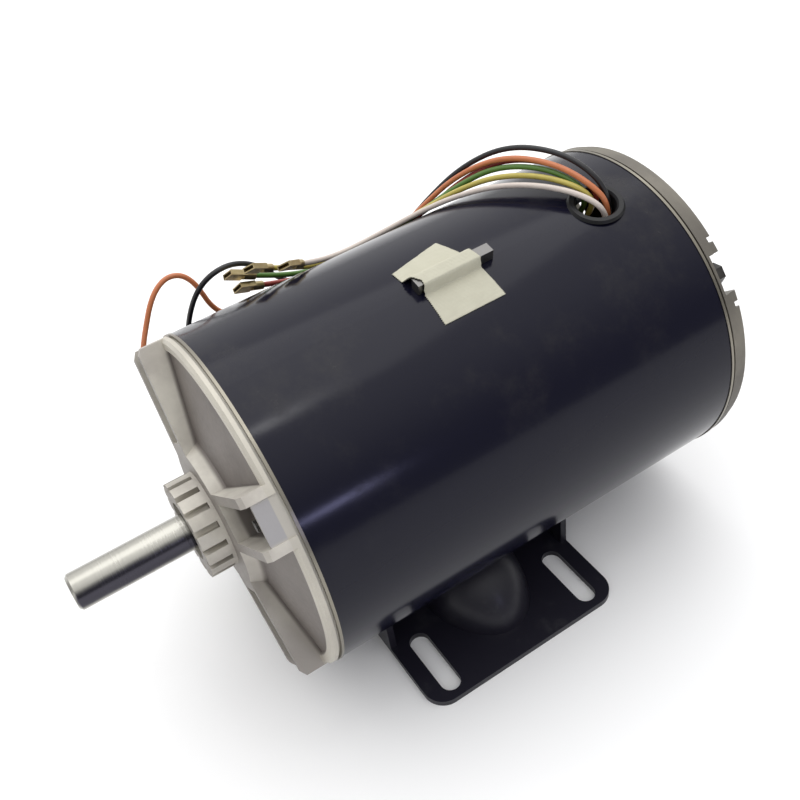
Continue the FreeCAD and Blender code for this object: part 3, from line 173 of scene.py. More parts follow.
AXIS_HEIGHT = 0.0889
SHELL_NAVY = (0.005, 0.005, 0.0135)
SHELL_DUST = (0.021, 0.02, 0.023)
DUST_TOP = 0.165
shell_enamel, shader, place = start_finish(
    "shell_enamel", SHELL_NAVY, roughness=0.3, specular_ior_level=0.2,
)
ripple = grain(place, scale=500.0)
flow = grain(place, scale=45.0, detail=4.0, stretch=(1.0, 0.15, 1.0))
dust = rise(grain(place, scale=25.0, detail=8.0, roughness=0.72), 0.5, 0.8)
upward = rise(part_of(place, "Z"), AXIS_HEIGHT, DUST_TOP)
dust_on_top = dust * upward
feed(shader, {
    "Base Color": mix_colours(dust_on_top, SHELL_NAVY, SHELL_DUST),
    "Roughness": 0.12 + 0.07 * flow + 0.22 * dust_on_top,
    "Normal": relief(ripple, depth=0.00003, strength=0.35),
})
dress(shell_enamel, "shell")


# Stator
# Slotted sheets of electrical steel are stacked and pressed into the shell.
# Their edges show as fine lines round the bore and on the back of the stack.

def sheet_edges(name, colour, gap_colour, pitch):
    """Stacked sheets: bright and dark lines across the shaft, with a little heat stain."""
    material, shader, place = start_finish(name, colour, roughness=0.45, metallic=0.9)
    along = part_of(place, "Y")
    saw = along.maths("PINGPONG", along, pitch) / pitch
    stain = grain(place, scale=80.0, detail=5.0)
    feed(shader, {
        "Base Color": mix_colours(rise(saw, 0.1, 0.45) * (0.6 + 0.4 * stain), gap_colour, colour),
        "Roughness": 0.35 + 0.3 * stain,
        "Normal": relief(saw, depth=0.0001, strength=0.6),
    })
    return material


SHEET_THICKNESS = 0.0005
STACK_GREY = (0.16, 0.16, 0.18)
STACK_GAP = (0.03, 0.03, 0.035)
stack_steel = sheet_edges("stack_steel", STACK_GREY, STACK_GAP, SHEET_THICKNESS)
dress(stack_steel, "stator_core", "rotor_core")


# Winding
# Coils of enamelled copper wire fill the slots, and their end turns are laced in a ring at each
# end of the stack and dipped in varnish. The strands and the lacing cord are laid round that ring.

def wire_finish(name, colour, shade, roughness):
    """Varnished wire or cord: uneven colour and gloss along its length."""
    material, shader, place = start_finish(
        name, colour, roughness, coat_weight=0.4, coat_roughness=0.2,
    )
    varnish = grain(place, scale=160.0, detail=4.0)
    feed(shader, {
        "Base Color": mix_colours(varnish, shade, colour),
        "Roughness": roughness - 0.1 + 0.25 * varnish,
        "Normal": relief(varnish, depth=0.0001, strength=0.4),
    })
    return material


COPPER = (0.32, 0.115, 0.04)
COPPER_SHADE = (0.12, 0.035, 0.012)
copper_enamel = wire_finish("copper_enamel", COPPER, COPPER_SHADE, roughness=0.35)
dress(copper_enamel, "stator_winding")


def start_rule(name, sizes):
    """A node tree with an outline and each size as named inputs, and the tones of those inputs."""
    tree = bpy.data.node_groups.new(name, "GeometryNodeTree")
    tree.interface.new_socket("Geometry", in_out="OUTPUT", socket_type="NodeSocketGeometry")
    tree.interface.new_socket("Outline", in_out="INPUT", socket_type="NodeSocketGeometry")
    identifiers = {}
    for words, value in sizes.items():
        kind = "NodeSocketInt" if isinstance(value, int) else "NodeSocketFloat"
        size = tree.interface.new_socket(words, in_out="INPUT", socket_type=kind)
        identifiers[words] = size.identifier
    entry = tree.nodes.new("NodeGroupInput")
    return (tree, identifiers), [Tone(entry.outputs[words]) for words in ("Outline", *sizes)]


def make_piece(name, rule, shape, material, sizes, points, edges):
    """Ends a tree in plain geometry, runs it on its outline, and keeps the result as a mesh."""
    tree, identifiers = rule
    whole = shape.node("GeometryNodeRealizeInstances", {}, {"Geometry": shape})
    dressed = whole.node("GeometryNodeSetMaterial", {}, {"Geometry": whole, "Material": material})
    tree.links.new(dressed.socket, tree.nodes.new("NodeGroupOutput").inputs["Geometry"])
    outline = bpy.data.meshes.new(name + "_outline")
    outline.from_pydata(points, edges, [])
    carrier = bpy.data.objects.new(name + "_carrier", outline)
    bpy.context.scene.collection.objects.link(carrier)
    modifier = carrier.modifiers.new("rule", "NODES")
    modifier.node_group = tree
    for words, value in sizes.items():
        modifier[identifiers[words]] = value
    finished = carrier.evaluated_get(bpy.context.evaluated_depsgraph_get())
    mesh = bpy.data.meshes.new_from_object(finished)
    bpy.data.objects.remove(carrier)
    mesh.name = name
    piece = bpy.data.objects.new(name, mesh)
    bpy.context.scene.collection.objects.link(piece)
    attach(piece, "motor")
    return piece


def round_section(tone, steps, radius):
    """A circle of a few steps, as a path or as the section of what follows one."""
    sockets = {"Resolution": steps, "Radius": radius}
    return tone.node("GeometryNodeCurvePrimitiveCircle", {}, sockets)


def sweep(path, section, caps=False):
    """A mesh with one section all along a path."""
    sockets = {"Curve": path, "Profile Curve": section, "Fill Caps": caps}
    return path.node("GeometryNodeCurveToMesh", {}, sockets)


def along_shaft(shape, station, way):
    """Lays what stands on Z along the shaft, from a station towards the front or the rear."""
    place = station.node("ShaderNodeCombineXYZ", {}, {"Y": station, "Z": AXIS_HEIGHT})
    turned = {"Geometry": shape, "Translation": place, "Rotation": (-way * math.pi / 2, 0.0, 0.0)}
    return shape.node("GeometryNodeTransform", {}, turned)


# The section of the ring of end turns: radius, and height over the stack's face.
END_TURNS = [
    (0.050, 0.0006), (0.058, 0.0006), (0.0638, 0.007), (0.0638, 0.027),
    (0.0568, 0.034), (0.0535, 0.034), (0.050, 0.027),
]
END_TURN_POINTS = [(radius, 0.0, height) for radius, height in END_TURNS]
END_TURN_EDGES = [(index, (index + 1) % len(END_TURNS)) for index in range(len(END_TURNS))]
END_TURN_MIDDLE = 0.058
RING_STEPS = 80
STRAND_STEPS = 5
CORD_STEPS = 6
DRIFT_SCALE = 55.0
stator_low, stator_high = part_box("stator_core")
CORD_PALE = (0.62, 0.55, 0.4)
CORD_SHADE = (0.4, 0.33, 0.22)
lacing_cord = wire_finish("lacing_cord", CORD_PALE, CORD_SHADE, roughness=0.6)
for end, face, way in (("front", stator_high[1], 1), ("rear", stator_low[1], -1)):
    sizes = {"Station": face, "Strand Radius": 0.0007, "Strand Pitch": 0.0015, "Slack": 0.0007}
    rule, (outline, station, wire, pitch, slack) = start_rule(end + "_strands", sizes)
    section = outline.node("GeometryNodeMeshToCurve", {}, {"Mesh": outline})
    spaced = {"Curve": section, "Length": pitch}
    seats = section.node("GeometryNodeResampleCurve", {"mode": "LENGTH"}, spaced)
    where = wire.node("GeometryNodeInputPosition")
    radius = part_of(where, "X")
    ring = round_section(wire, RING_STEPS, 1.0)
    strand = sweep(ring, round_section(wire, STRAND_STEPS, wire / END_TURN_MIDDLE))
    laid = {"Points": seats, "Instance": strand, "Scale": radius}
    strands = seats.node("GeometryNodeInstanceOnPoints", {}, laid)
    inward = radius.node("ShaderNodeCombineXYZ", {}, {"X": -1.0 * radius})
    centred = {"Instances": strands, "Translation": inward, "Local Space": False}
    strands = strands.node("GeometryNodeTranslateInstances", {}, centred)
    strands = strands.node("GeometryNodeRealizeInstances", {}, {"Geometry": strands})
    waves = {"Vector": where, "Scale": DRIFT_SCALE, "Detail": 1.0}
    drift = where.node("ShaderNodeTexNoise", {}, waves, output="Color")
    both_ways = {0: drift, 1: (0.5, 0.5, 0.5)}
    drift = drift.node("ShaderNodeVectorMath", {"operation": "SUBTRACT"}, both_ways)
    drift = drift.node("ShaderNodeVectorMath", {"operation": "SCALE"}, {0: drift, "Scale": slack})
    strands = strands.node("GeometryNodeSetPosition", {}, {"Geometry": strands, "Offset": drift})
    strands = along_shaft(strands, station, way)
    piece = make_piece(
        end + "_end_strands", rule, strands, copper_enamel, sizes, END_TURN_POINTS, END_TURN_EDGES,
    )

    sizes = {"Station": face, "Cord Radius": 0.0006, "Cord Lift": 1.012, "Loops": 24}
    rule, (outline, station, cord, lift, loops) = start_rule(end + "_lacing", sizes)
    section = outline.node("GeometryNodeMeshToCurve", {}, {"Mesh": outline})
    loop = sweep(section, round_section(cord, CORD_STEPS, cord))
    posts = loops.node("GeometryNodePoints", {}, {"Count": loops})
    number = loops.node("GeometryNodeInputIndex")
    turn = number.node("ShaderNodeCombineXYZ", {}, {"Z": number * (2 * math.pi) / loops})
    tied = {"Points": posts, "Instance": loop, "Rotation": turn, "Scale": lift}
    lacing = posts.node("GeometryNodeInstanceOnPoints", {}, tied)
    lacing = along_shaft(lacing, station, way)
    piece = make_piece(
        end + "_lacing_cord", rule, lacing, lacing_cord, sizes, END_TURN_POINTS, END_TURN_EDGES,
    )


# Rotor
# The rotor's own sheets sit on the shaft, and aluminium is cast through them as bars that join
# an end ring at each end. The rings carry short blades that stir the air.

CAGE_GREY = (0.55, 0.55, 0.56)
cage_aluminium, shader, place = start_finish(
    "cage_aluminium", CAGE_GREY, roughness=0.45, metallic=1.0,
)
sand = grain(place, scale=700.0, detail=5.0)
feed(shader, {"Roughness": 0.35 + 0.25 * sand, "Normal": relief(sand, depth=0.00008, strength=0.6)})
dress(cage_aluminium, "rotor_cage")


# Shaft
# The shaft is turned and ground from bright steel bar, shouldered for the bearings, and has a
# keyway milled in its free end. Grinding leaves fine rings round it.

# A painted dark reflection lies on one side of the shaft (X, Z), past a height from the axis
# towards that side.
PAINTED_REFLECTION_SIDE = (-0.978, 0.208)
PAINTED_REFLECTION_EDGE = (0.0062, 0.0076)
PAINTED_REFLECTION_WANDER = 0.0012
PAINTED_REFLECTION_STRENGTH = 0.92
PAINTED_REFLECTION_DARK = (0.03, 0.028, 0.045)
SHAFT_BRIGHT = (0.44, 0.43, 0.39)
SPRING_BLUE = (0.12, 0.12, 0.14)


def turned_steel(name, colour, roughness, fineness, dark_reflection=None):
    """Bright steel with fine rings round the shaft, handling marks and perhaps a painted dark
    reflection.
    """
    material, shader, place = start_finish(name, colour, roughness, metallic=1.0)
    rings = grain(place, fineness, detail=2.0, stretch=(0.02, 1.0, 0.02))
    smears = grain(place, scale=70.0, detail=5.0)
    steel = mix_colours(0.5 * rings + 0.5 * smears, [0.72 * part for part in colour], colour)
    if dark_reflection is not None:
        # Painted reflection: a dark band painted along one side of the shaft.
        up = part_of(place, "Z") - AXIS_HEIGHT
        towards = PAINTED_REFLECTION_SIDE[0] * part_of(place, "X") + PAINTED_REFLECTION_SIDE[1] * up
        painted_band = rise(towards + PAINTED_REFLECTION_WANDER * (smears - 0.5), *PAINTED_REFLECTION_EDGE)
        steel = mix_colours(PAINTED_REFLECTION_STRENGTH * painted_band, steel, dark_reflection)
    feed(shader, {
        "Base Color": steel,
        "Roughness": roughness - 0.06 + 0.16 * rings + 0.1 * smears,
        "Normal": relief(rings, depth=0.00007, strength=0.8),
    })
    return material


bright_steel = turned_steel(
    "bright_steel", SHAFT_BRIGHT, roughness=0.18, fineness=1100.0, dark_reflection=PAINTED_REFLECTION_DARK,
)
blued_steel = turned_steel("blued_steel", SPRING_BLUE, roughness=0.35, fineness=900.0)
dress(bright_steel, "shaft")
dress(blued_steel, "shaft_retaining_ring", "wave_spring")


# Bearings
# A shielded ball bearing sits at each end: two ground races, a pressed cage with its balls, and
# a thin steel shield on each face. A wave spring loads the rear one.

RACE_BRIGHT = (0.66, 0.66, 0.66)
SHIELD_GREY = (0.5, 0.5, 0.5)
race_steel = turned_steel("race_steel", RACE_BRIGHT, roughness=0.14, fineness=2200.0)
shield_steel = turned_steel("shield_steel", SHIELD_GREY, roughness=0.3, fineness=700.0)
for bearing in ("front_bearing_", "rear_bearing_"):
    dress(race_steel, bearing + "inner_race", bearing + "outer_race", bearing + "balls")
    dress(shield_steel, bearing + "shields", bearing + "cage")


# Bells
# Both end bells are die castings with a grey skin that the through bolts clamp on the shell.
# Only the lip beside the shell is turned; painted shade lies low on both bells and on the front
# rim, pad and web.

BELL_BRIGHT = (0.245, 0.228, 0.19)
# Painted shade on the front web and on faces that point forward.
BELL_PAINTED_SHADE = (0.118, 0.1, 0.091)
SEAM_DARK = (0.045, 0.04, 0.034)
# Painted shade on the front rim band.
RIM_PAINTED_SHADE = (0.5, 0.472, 0.405)
# Painted shade on the pad faces that point away from the axis.
PAD_PAINTED_SHADE = (0.31, 0.305, 0.325)
SHELL_RADIUS = 0.075
SKIN_DEPTH = 0.00012
WEB_OUTER = 0.0695
WEB_SLOPE = 0.0066 / 0.0355
# Each pair below is where a mask begins and where it is full: metres, or the share of a normal.
RIM_OUTSIDE = (SHELL_RADIUS - 0.0012, SHELL_RADIUS - 0.0004)
RIM_INSIDE = (0.0704, 0.0709)
RIM_LENGTH = (0.0054, 0.0058)
LIP_FADE = 0.0003
SEAM_START = 0.0002
SEAM_WIDTH = (0.0007, 0.001)
# Painted shade that darkens each bell towards the bottom.
PAINTED_LOW_SHADE_LEVEL = (-0.06, 0.03)
PAINTED_LOW_SHADE_WANDER = 0.03
PAINTED_LOW_SHADE_STRENGTH = 0.85
# Painted shade on the front web and on faces that point forward:
PAINTED_SHADE_OVER_WEB = (0.0003, 0.0022)
PAINTED_SHADE_INSIDE_RIM = (0.0035, 0.006)
FACE_TILT = (0.75, 0.97)
FACE_FORWARD = (0.004, 0.006)
PAINTED_FACE_SHADE_STRENGTH = 0.75
# Painted shade on the rim's outward pad faces:
PAD_INSIDE = (0.0735, 0.0738)
PAD_OUTSIDE = (0.0743, 0.0746)
PAD_TILT = (0.85, 0.95)


def share_along(direction, way):
    """How far a direction goes along another one."""
    sockets = {0: direction, 1: way}
    return direction.node("ShaderNodeVectorMath", {"operation": "DOT_PRODUCT"}, sockets, "Value")


def bell_finish(name, pale, shade, low_shade, lip_from, lip_to, sheen, painted_shade_from=None):
    """Cast skin, with the lip between two stations along Y turned bright, and painted shade low
    down and on the front web, rim and pad.
    """
    material, shader, place = start_finish(name, pale, roughness=0.5, metallic=0.6)
    across, along = part_of(place, "X"), part_of(place, "Y")
    up = part_of(place, "Z") - AXIS_HEIGHT
    radius = across.maths("SQRT", across * across + up * up)
    on_rim = rise(radius, *RIM_OUTSIDE)
    past_lip = rise(along, lip_to, lip_to + LIP_FADE)
    lip = on_rim * rise(along, lip_from - LIP_FADE, lip_from) * (1 - past_lip)
    skin = grain(place, scale=420.0, detail=5.0, roughness=0.65)
    flow_marks = grain(place, scale=38.0, detail=5.0)
    # Painted shade: darker towards the bottom of the bell.
    low = 1 - rise(up + PAINTED_LOW_SHADE_WANDER * (flow_marks - 0.5), *PAINTED_LOW_SHADE_LEVEL)
    cast = mix_colours(rise(flow_marks, 0.3, 0.7), shade, pale)
    cast = mix_colours(PAINTED_LOW_SHADE_STRENGTH * low, cast, low_shade)
    if painted_shade_from is not None:
        # Painted shade on the web inside the rim.
        above_web = along - painted_shade_from - (WEB_OUTER - radius) * WEB_SLOPE
        inside_rim = rise(SHELL_RADIUS - radius, *PAINTED_SHADE_INSIDE_RIM)
        web_painted_shade = (1 - rise(above_web, *PAINTED_SHADE_OVER_WEB)) * inside_rim
        cast = mix_colours(web_painted_shade * (0.7 + 0.4 * flow_marks), cast, BELL_PAINTED_SHADE)
        # Painted shade on faces that point forward, ahead of the web.
        normal = place.node("ShaderNodeNewGeometry", output="Normal")
        outward = rise(part_of(normal, "Y"), *FACE_TILT)
        forward = rise(along - painted_shade_from, *FACE_FORWARD)
        cast = mix_colours(PAINTED_FACE_SHADE_STRENGTH * outward * forward, cast, BELL_PAINTED_SHADE)
        # Painted shade on the pad faces that point away from the axis.
        from_axis = place.node("ShaderNodeCombineXYZ", {}, {"X": across, "Z": up})
        sideways = share_along(normal, from_axis) / radius
        at_pad = rise(radius, *PAD_INSIDE) * (1 - rise(radius, *PAD_OUTSIDE))
        pad = rise(sideways, *PAD_TILT) * at_pad
        cast = mix_colours(pad * (0.5 + 0.5 * flow_marks), cast, PAD_PAINTED_SHADE)
        # Painted shade on the front rim band.
        past_rim = rise(along, *[lip_from + length for length in RIM_LENGTH])
        turned = rise(radius, *RIM_INSIDE) * (1 - past_rim)
        cast = mix_colours(turned * (0.5 + 0.5 * flow_marks), cast, RIM_PAINTED_SHADE)
        past_seam = rise(along, *[lip_to + width for width in SEAM_WIDTH])
        seam = on_rim * rise(along, lip_to, lip_to + SEAM_START) * (1 - past_seam)
        cast = mix_colours(seam, cast, SEAM_DARK)
    feed(shader, {
        "Base Color": mix_colours(lip, cast, BELL_BRIGHT),
        "Roughness": 0.42 + 0.2 * skin - 0.2 * lip,
        "Metallic": sheen + (1 - sheen) * lip,
        "Normal": relief(skin * (1 - lip), SKIN_DEPTH, strength=0.7),
    })
    return material


shell_low, shell_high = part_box("shell")
LIP_WIDTH = 0.0012
WEB_STEP = 0.0041
FRONT_PALE = (0.65, 0.62, 0.55)
FRONT_SHADE = (0.42, 0.39, 0.35)
# Painted shade low on the front bell.
FRONT_LOW_SHADE = (0.33, 0.305, 0.275)
FRONT_SHEEN = 0.3
REAR_PALE = (0.21, 0.194, 0.163)
REAR_SHADE = (0.155, 0.143, 0.124)
# Painted shade low on the rear bell.
REAR_LOW_SHADE = (0.045, 0.041, 0.04)
REAR_SHEEN = 0.7
front_edge = shell_high[1]
rear_edge = shell_low[1]
front_casting = bell_finish(
    "front_casting", FRONT_PALE, FRONT_SHADE, FRONT_LOW_SHADE,
    front_edge, front_edge + LIP_WIDTH, FRONT_SHEEN, front_edge + WEB_STEP,
)
dress(front_casting, "front_bell")
rear_casting = bell_finish(
    "rear_casting", REAR_PALE, REAR_SHADE, REAR_LOW_SHADE, rear_edge - LIP_WIDTH, rear_edge, REAR_SHEEN,
)
dress(rear_casting, "rear_bell")


# Through bolts
# Four long blackened steel bolts clamp both bells on the shell. Their heads sit in the rear
# notches, and their rolled threads stand out of the nuts in the front bell's channels.

OXIDE_DARK = (0.03, 0.029, 0.029)
OXIDE_BLOOM = (0.1, 0.096, 0.09)
black_oxide, shader, place = start_finish("black_oxide", OXIDE_DARK, roughness=0.4, metallic=0.9)
bloom = grain(place, scale=300.0, detail=5.0)
feed(shader, {
    "Base Color": mix_colours(bloom, OXIDE_DARK, OXIDE_BLOOM),
    "Roughness": 0.3 + 0.3 * bloom,
})
dress(black_oxide, "through_bolts", "through_bolt_nuts", "through_bolt_washers")

BOLT_CIRCLE = 0.0674
BOLT_ANGLES = (51.0, 141.0, 231.0, 321.0)
THREAD_STEPS = 24
RIDGE_STEPS = 3


def round_shaft(radius, angle, station):
    """Point at a radius and an angle in degrees about the shaft, and at a station along it."""
    slope = math.radians(angle)
    across = -radius * math.sin(slope)
    up = AXIS_HEIGHT + radius * math.cos(slope)
    return Vector((across, station, up))


sizes = {"Thread Radius": 0.0023, "Ridge": 0.00034, "Pitch": 0.0008, "Length": 0.0026}
rule, (tips, radius, ridge, pitch, length) = start_rule("bolt_threads", sizes)
helix = radius.node("GeometryNodeCurveSpiral", {}, {
    "Resolution": THREAD_STEPS, "Rotations": length / pitch, "Height": length,
    "Start Radius": radius, "End Radius": radius,
})
thread = sweep(helix, round_section(ridge, RIDGE_STEPS, ridge), caps=True)
screwed = {"Points": tips, "Instance": thread, "Rotation": (-math.pi / 2, 0.0, 0.0)}
threads = tips.node("GeometryNodeInstanceOnPoints", {}, screwed)
bolt_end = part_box("through_bolts")[1][1]
thread_start = bolt_end - sizes["Length"]
bolt_tips = [round_shaft(BOLT_CIRCLE, angle, thread_start) for angle in BOLT_ANGLES]
piece = make_piece("bolt_threads", rule, threads, black_oxide, sizes, bolt_tips, [])


# Grommet
# A ring of black moulded rubber lines the lead hole, so that its edge can't cut the leads.
# It is pushed into the hole, and holds with one lip over the shell and one under it.

RUBBER_BLACK = (0.006, 0.006, 0.007)
RUBBER_BLOOM = (0.014, 0.014, 0.015)
grommet_rubber, shader, place = start_finish(
    "grommet_rubber", RUBBER_BLACK, roughness=0.34, specular_ior_level=0.22,
)
bloom = grain(place, scale=350.0, detail=4.0)
feed(shader, {
    "Base Color": mix_colours(bloom, RUBBER_BLACK, RUBBER_BLOOM),
    "Roughness": 0.24 + 0.2 * bloom,
    "Normal": relief(bloom, depth=0.00008, strength=0.5),
})
dress(grommet_rubber, "lead_grommet")


# Leads
# Six stranded wires in coloured insulation come out of the grommet in one bundle, lie over the
# shell's far shoulder and end in crimped push-on terminals. Two of them stand up in loops.

LEAD_DIAMETER = 0.0024
MILLIMETRE = 0.001
# The points of a route lie near the CAD's tube: station along Y in mm, angle about the shaft in
# degrees, and height over the shell in mm.
LEAD_ROUTES = {
    "black": [
        (-99, 13.4, -9.6), (-98.7, 12.2, -0.5), (-95.8, 7, 9.4), (-89.5, -3.5, 15.6),
        (-80, -18, 17), (-69, -33, 12.8), (-57, -48.4, 7.6), (-41, -61.5, 2.8), (-18, -70, 2.4),
        (3, -70, 3.6), (18, -60, 8), (26.5, -51.5, 12), (34.2, -46.2, 15), (42.8, -43.6, 16.6),
        (51.8, -44.4, 15.6), (58.6, -48.2, 12.5), (63.5, -54.5, 8), (66.5, -62.5, 4.6),
        (67.5, -71.5, 2.8), (67, -80, 2.4),
    ],
    "orange": [
        (-97, 15, -9.6), (-96.6, 14, -0.5), (-92.4, 8.8, 7.2), (-85.6, -3, 12.4), (-76, -18, 13.8),
        (-64.8, -34, 10), (-52.5, -49.5, 5.4), (-37, -60.4, 2.6), (-14, -66.2, 2), (10, -65.4, 2),
        (31, -63.5, 2.2), (42, -62, 2.8), (49.4, -60, 4.8), (53.2, -56.4, 9), (54.8, -53, 14),
        (56.8, -50.6, 19), (60.6, -49.2, 23), (66.4, -49, 24.2), (72.4, -49.8, 21.8),
        (77.4, -51.6, 17.4), (81.4, -54.6, 12.6), (85.4, -58.8, 8), (88.8, -64, 3.9),
        (88.2, -71.2, 3),
    ],
    "red": [
        (-96, 5.8, -9.6), (-97, 9.4, -1.4), (-93.4, 5, 6.2), (-87, -6.5, 10.6), (-77.8, -20, 11.4),
        (-67, -32.5, 7.4), (-56, -43.8, 3.2), (-41, -53.4, 2.1), (-20, -59.6, 2), (1, -59, 2),
        (18, -54.6, 2.6), (31, -49.5, 4.2),
    ],
    "green": [
        (-92.6, 4.3, -9.6), (-91.6, 7.8, -1.5), (-89.8, 4.8, 6), (-83.4, -6, 9.6),
        (-73.6, -19.5, 9.8), (-62.8, -31.5, 6), (-51, -43, 2.9), (-36, -51.4, 2), (-16, -56.2, 1.9),
        (5, -54.4, 2), (21, -48.8, 3.8), (34, -44.2, 8),
    ],
    "yellow": [
        (-92.8, 7.6, -9.2), (-93, 10.8, -1), (-88.4, 7, 6.4), (-80, -5, 7.8), (-69.8, -17.8, 7),
        (-58.8, -30, 4.4), (-47, -41, 2.4), (-31, -48.8, 1.9), (-13, -53, 1.9), (5, -50, 2),
        (18, -43.4, 4.2), (28, -38.5, 7),
    ],
    "white": [
        (-94.4, 16.7, -9), (-93.4, 15.8, -0.3), (-87.2, 10, 5.4), (-78.2, -0.5, 6.2),
        (-67.2, -12.6, 5.4), (-56.2, -25, 3.3), (-44.5, -37, 2.2), (-28, -45.8, 1.9),
        (-10, -49, 1.9), (5, -44.6, 2), (15.5, -37.8, 3.4),
    ],
}
INSULATION = {
    "black": (0.012, 0.012, 0.014),
    "orange": (0.58, 0.19, 0.075),
    "red": (0.4, 0.06, 0.05),
    "green": (0.09, 0.2, 0.035),
    "yellow": (0.5, 0.42, 0.09),
    "white": (0.68, 0.6, 0.54),
}


def over_shell(station, angle, height):
    """Point in metres of a route's station, angle about the shaft and height over the shell."""
    radius = SHELL_RADIUS + height * MILLIMETRE
    return round_shaft(radius, angle, station * MILLIMETRE)


def insulation(colour_name, colour):
    """Extruded insulation: soft gloss with a faint mottle of handling."""
    material, shader, place = start_finish("insulation_" + colour_name, colour, roughness=0.35)
    handling = grain(place, scale=240.0, detail=4.0)
    feed(shader, {
        "Base Color": mix_colours(handling, [0.75 * part for part in colour], colour),
        "Roughness": 0.28 + 0.22 * handling,
        "Normal": relief(handling, depth=0.00005, strength=0.3),
    })
    return material


TIN_BRIGHT = (0.68, 0.58, 0.36)
TIN_TARNISH = (0.34, 0.25, 0.1)
terminal_tin, shader, place = start_finish("terminal_tin", TIN_BRIGHT, roughness=0.3, metallic=1.0)
tarnish = grain(place, scale=420.0, detail=5.0)
feed(shader, {
    "Base Color": mix_colours(tarnish, TIN_TARNISH, TIN_BRIGHT),
    "Roughness": 0.22 + 0.3 * tarnish,
})

for colour_name, route in LEAD_ROUTES.items():
    points = [over_shell(*point) for point in route]
    line = bpy.data.curves.new("lead_line_" + colour_name, "CURVE")
    line.dimensions = "3D"
    line.bevel_depth = LEAD_DIAMETER / 2
    line.bevel_resolution = 4
    line.resolution_u = 10
    line.use_fill_caps = True
    spline = line.splines.new("NURBS")
    spline.points.add(len(points) - 1)
    for control, point in zip(spline.points, points):
        control.co = (*point, 1.0)
    spline.order_u = 3
    spline.use_endpoint_u = True
    line.materials.append(insulation(colour_name, INSULATION[colour_name]))
    lead = bpy.data.objects.new("lead_wire_" + colour_name, line)
    bpy.context.scene.collection.objects.link(lead)
    node_name = "lead_" + colour_name
    terminal_name = node_name + "_terminal"
    dress(terminal_tin, terminal_name)
    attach(lead, "motor")
    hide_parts(node_name)


# Shaft key and tape
# The square key for the keyway is taped on the shell for shipping, so that it isn't lost.
# The tape is a torn strip of creped paper, pressed down on the shell and tented over the key.

KEY_GREY = (0.2, 0.195, 0.19)
key_steel = turned_steel("key_steel", KEY_GREY, roughness=0.3, fineness=900.0)
dress(key_steel, "shaft_key")
key_low, key_high = (Vector(corner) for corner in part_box("shaft_key"))
key_middle = (key_low + key_high) / 2
KEY_ANGLE = math.degrees(math.atan2(-key_middle.x, key_middle.z - AXIS_HEIGHT))
# The sizes of the key, of the tape and of its tent over the key are in mm.
KEY_HALF = 2.38
KEY_TOP = 5.2
TENT_FAR = 5.2
TENT_NEAR = 1.5
TAPE_LIFT = 0.25
TAPE_RIPPLE = 0.12
TAPE_TEAR = 0.25
TAPE_THICKNESS = 0.22
TAPE_ROWS = 112
TAPE_COLUMNS = 48
# Both edges of the tape from its upper end to its lower one: angle about the shaft in degrees,
# and station along Y in mm.
TAPE_REAR_EDGE = [(-3.7, -26.1), (5.3, -29.8), (13.0, -31.8), (25.4, -32.6)]
TAPE_FRONT_EDGE = [
    (-3.7, -25.0), (0.7, -1.6), (7.0, -2.0), (11.4, -6.0), (13.8, -5.4), (25.4, -4.5),
]


def along_edge(edge, angle):
    """Station of an edge at an angle, straight between its corners."""
    for (low, first), (high, second) in zip(edge, edge[1:]):
        if angle <= high:
            return first + (second - first) * (angle - low) / (high - low)
    return edge[-1][1]


def tape_height(angle, station):
    """Height of the tape over the shell: flat, up to the key, flat over it, and a steep fall."""
    off_key = abs(math.radians(angle - KEY_ANGLE)) * SHELL_RADIUS / MILLIMETRE
    tent = TENT_NEAR if angle > KEY_ANGLE else TENT_FAR
    climb = min(max((KEY_HALF + tent - off_key) / tent, 0.0), 1.0)
    swell = TAPE_RIPPLE * math.sin(1.9 * station + 0.8 * angle)
    ripple = swell * math.sin(0.7 * angle - 0.5 * station)
    return TAPE_LIFT + KEY_TOP * climb * climb * (3 - 2 * climb) + abs(ripple)


tape_mesh = bpy.data.meshes.new("paper_tape")
tape_build = bmesh.new()
tape_grid = []
first_angle = TAPE_REAR_EDGE[0][0]
last_angle = TAPE_REAR_EDGE[-1][0]
for row in range(TAPE_ROWS + 1):
    angle = first_angle + (last_angle - first_angle) * row / TAPE_ROWS
    rear = along_edge(TAPE_REAR_EDGE, angle) + TAPE_TEAR * math.sin(3.1 * row)
    front = along_edge(TAPE_FRONT_EDGE, angle) + TAPE_TEAR * math.sin(2.3 * row + 1.0)
    line_of_points = []
    for column in range(TAPE_COLUMNS + 1):
        station = rear + (front - rear) * column / TAPE_COLUMNS
        point = over_shell(station, angle, tape_height(angle, station))
        line_of_points.append(tape_build.verts.new(point))
    tape_grid.append(line_of_points)
for upper, lower in zip(tape_grid, tape_grid[1:]):
    for column in range(TAPE_COLUMNS):
        corners = (upper[column], upper[column + 1], lower[column + 1], lower[column])
        tape_build.faces.new(corners).smooth = True
bmesh.ops.recalc_face_normals(tape_build, faces=tape_build.faces)
tape_build.to_mesh(tape_mesh)
tape_build.free()
tape = bpy.data.objects.new("paper_tape", tape_mesh)
bpy.context.scene.collection.objects.link(tape)
body = tape.modifiers.new("paper", "SOLIDIFY")
body.thickness = TAPE_THICKNESS * MILLIMETRE
body.offset = 0.0

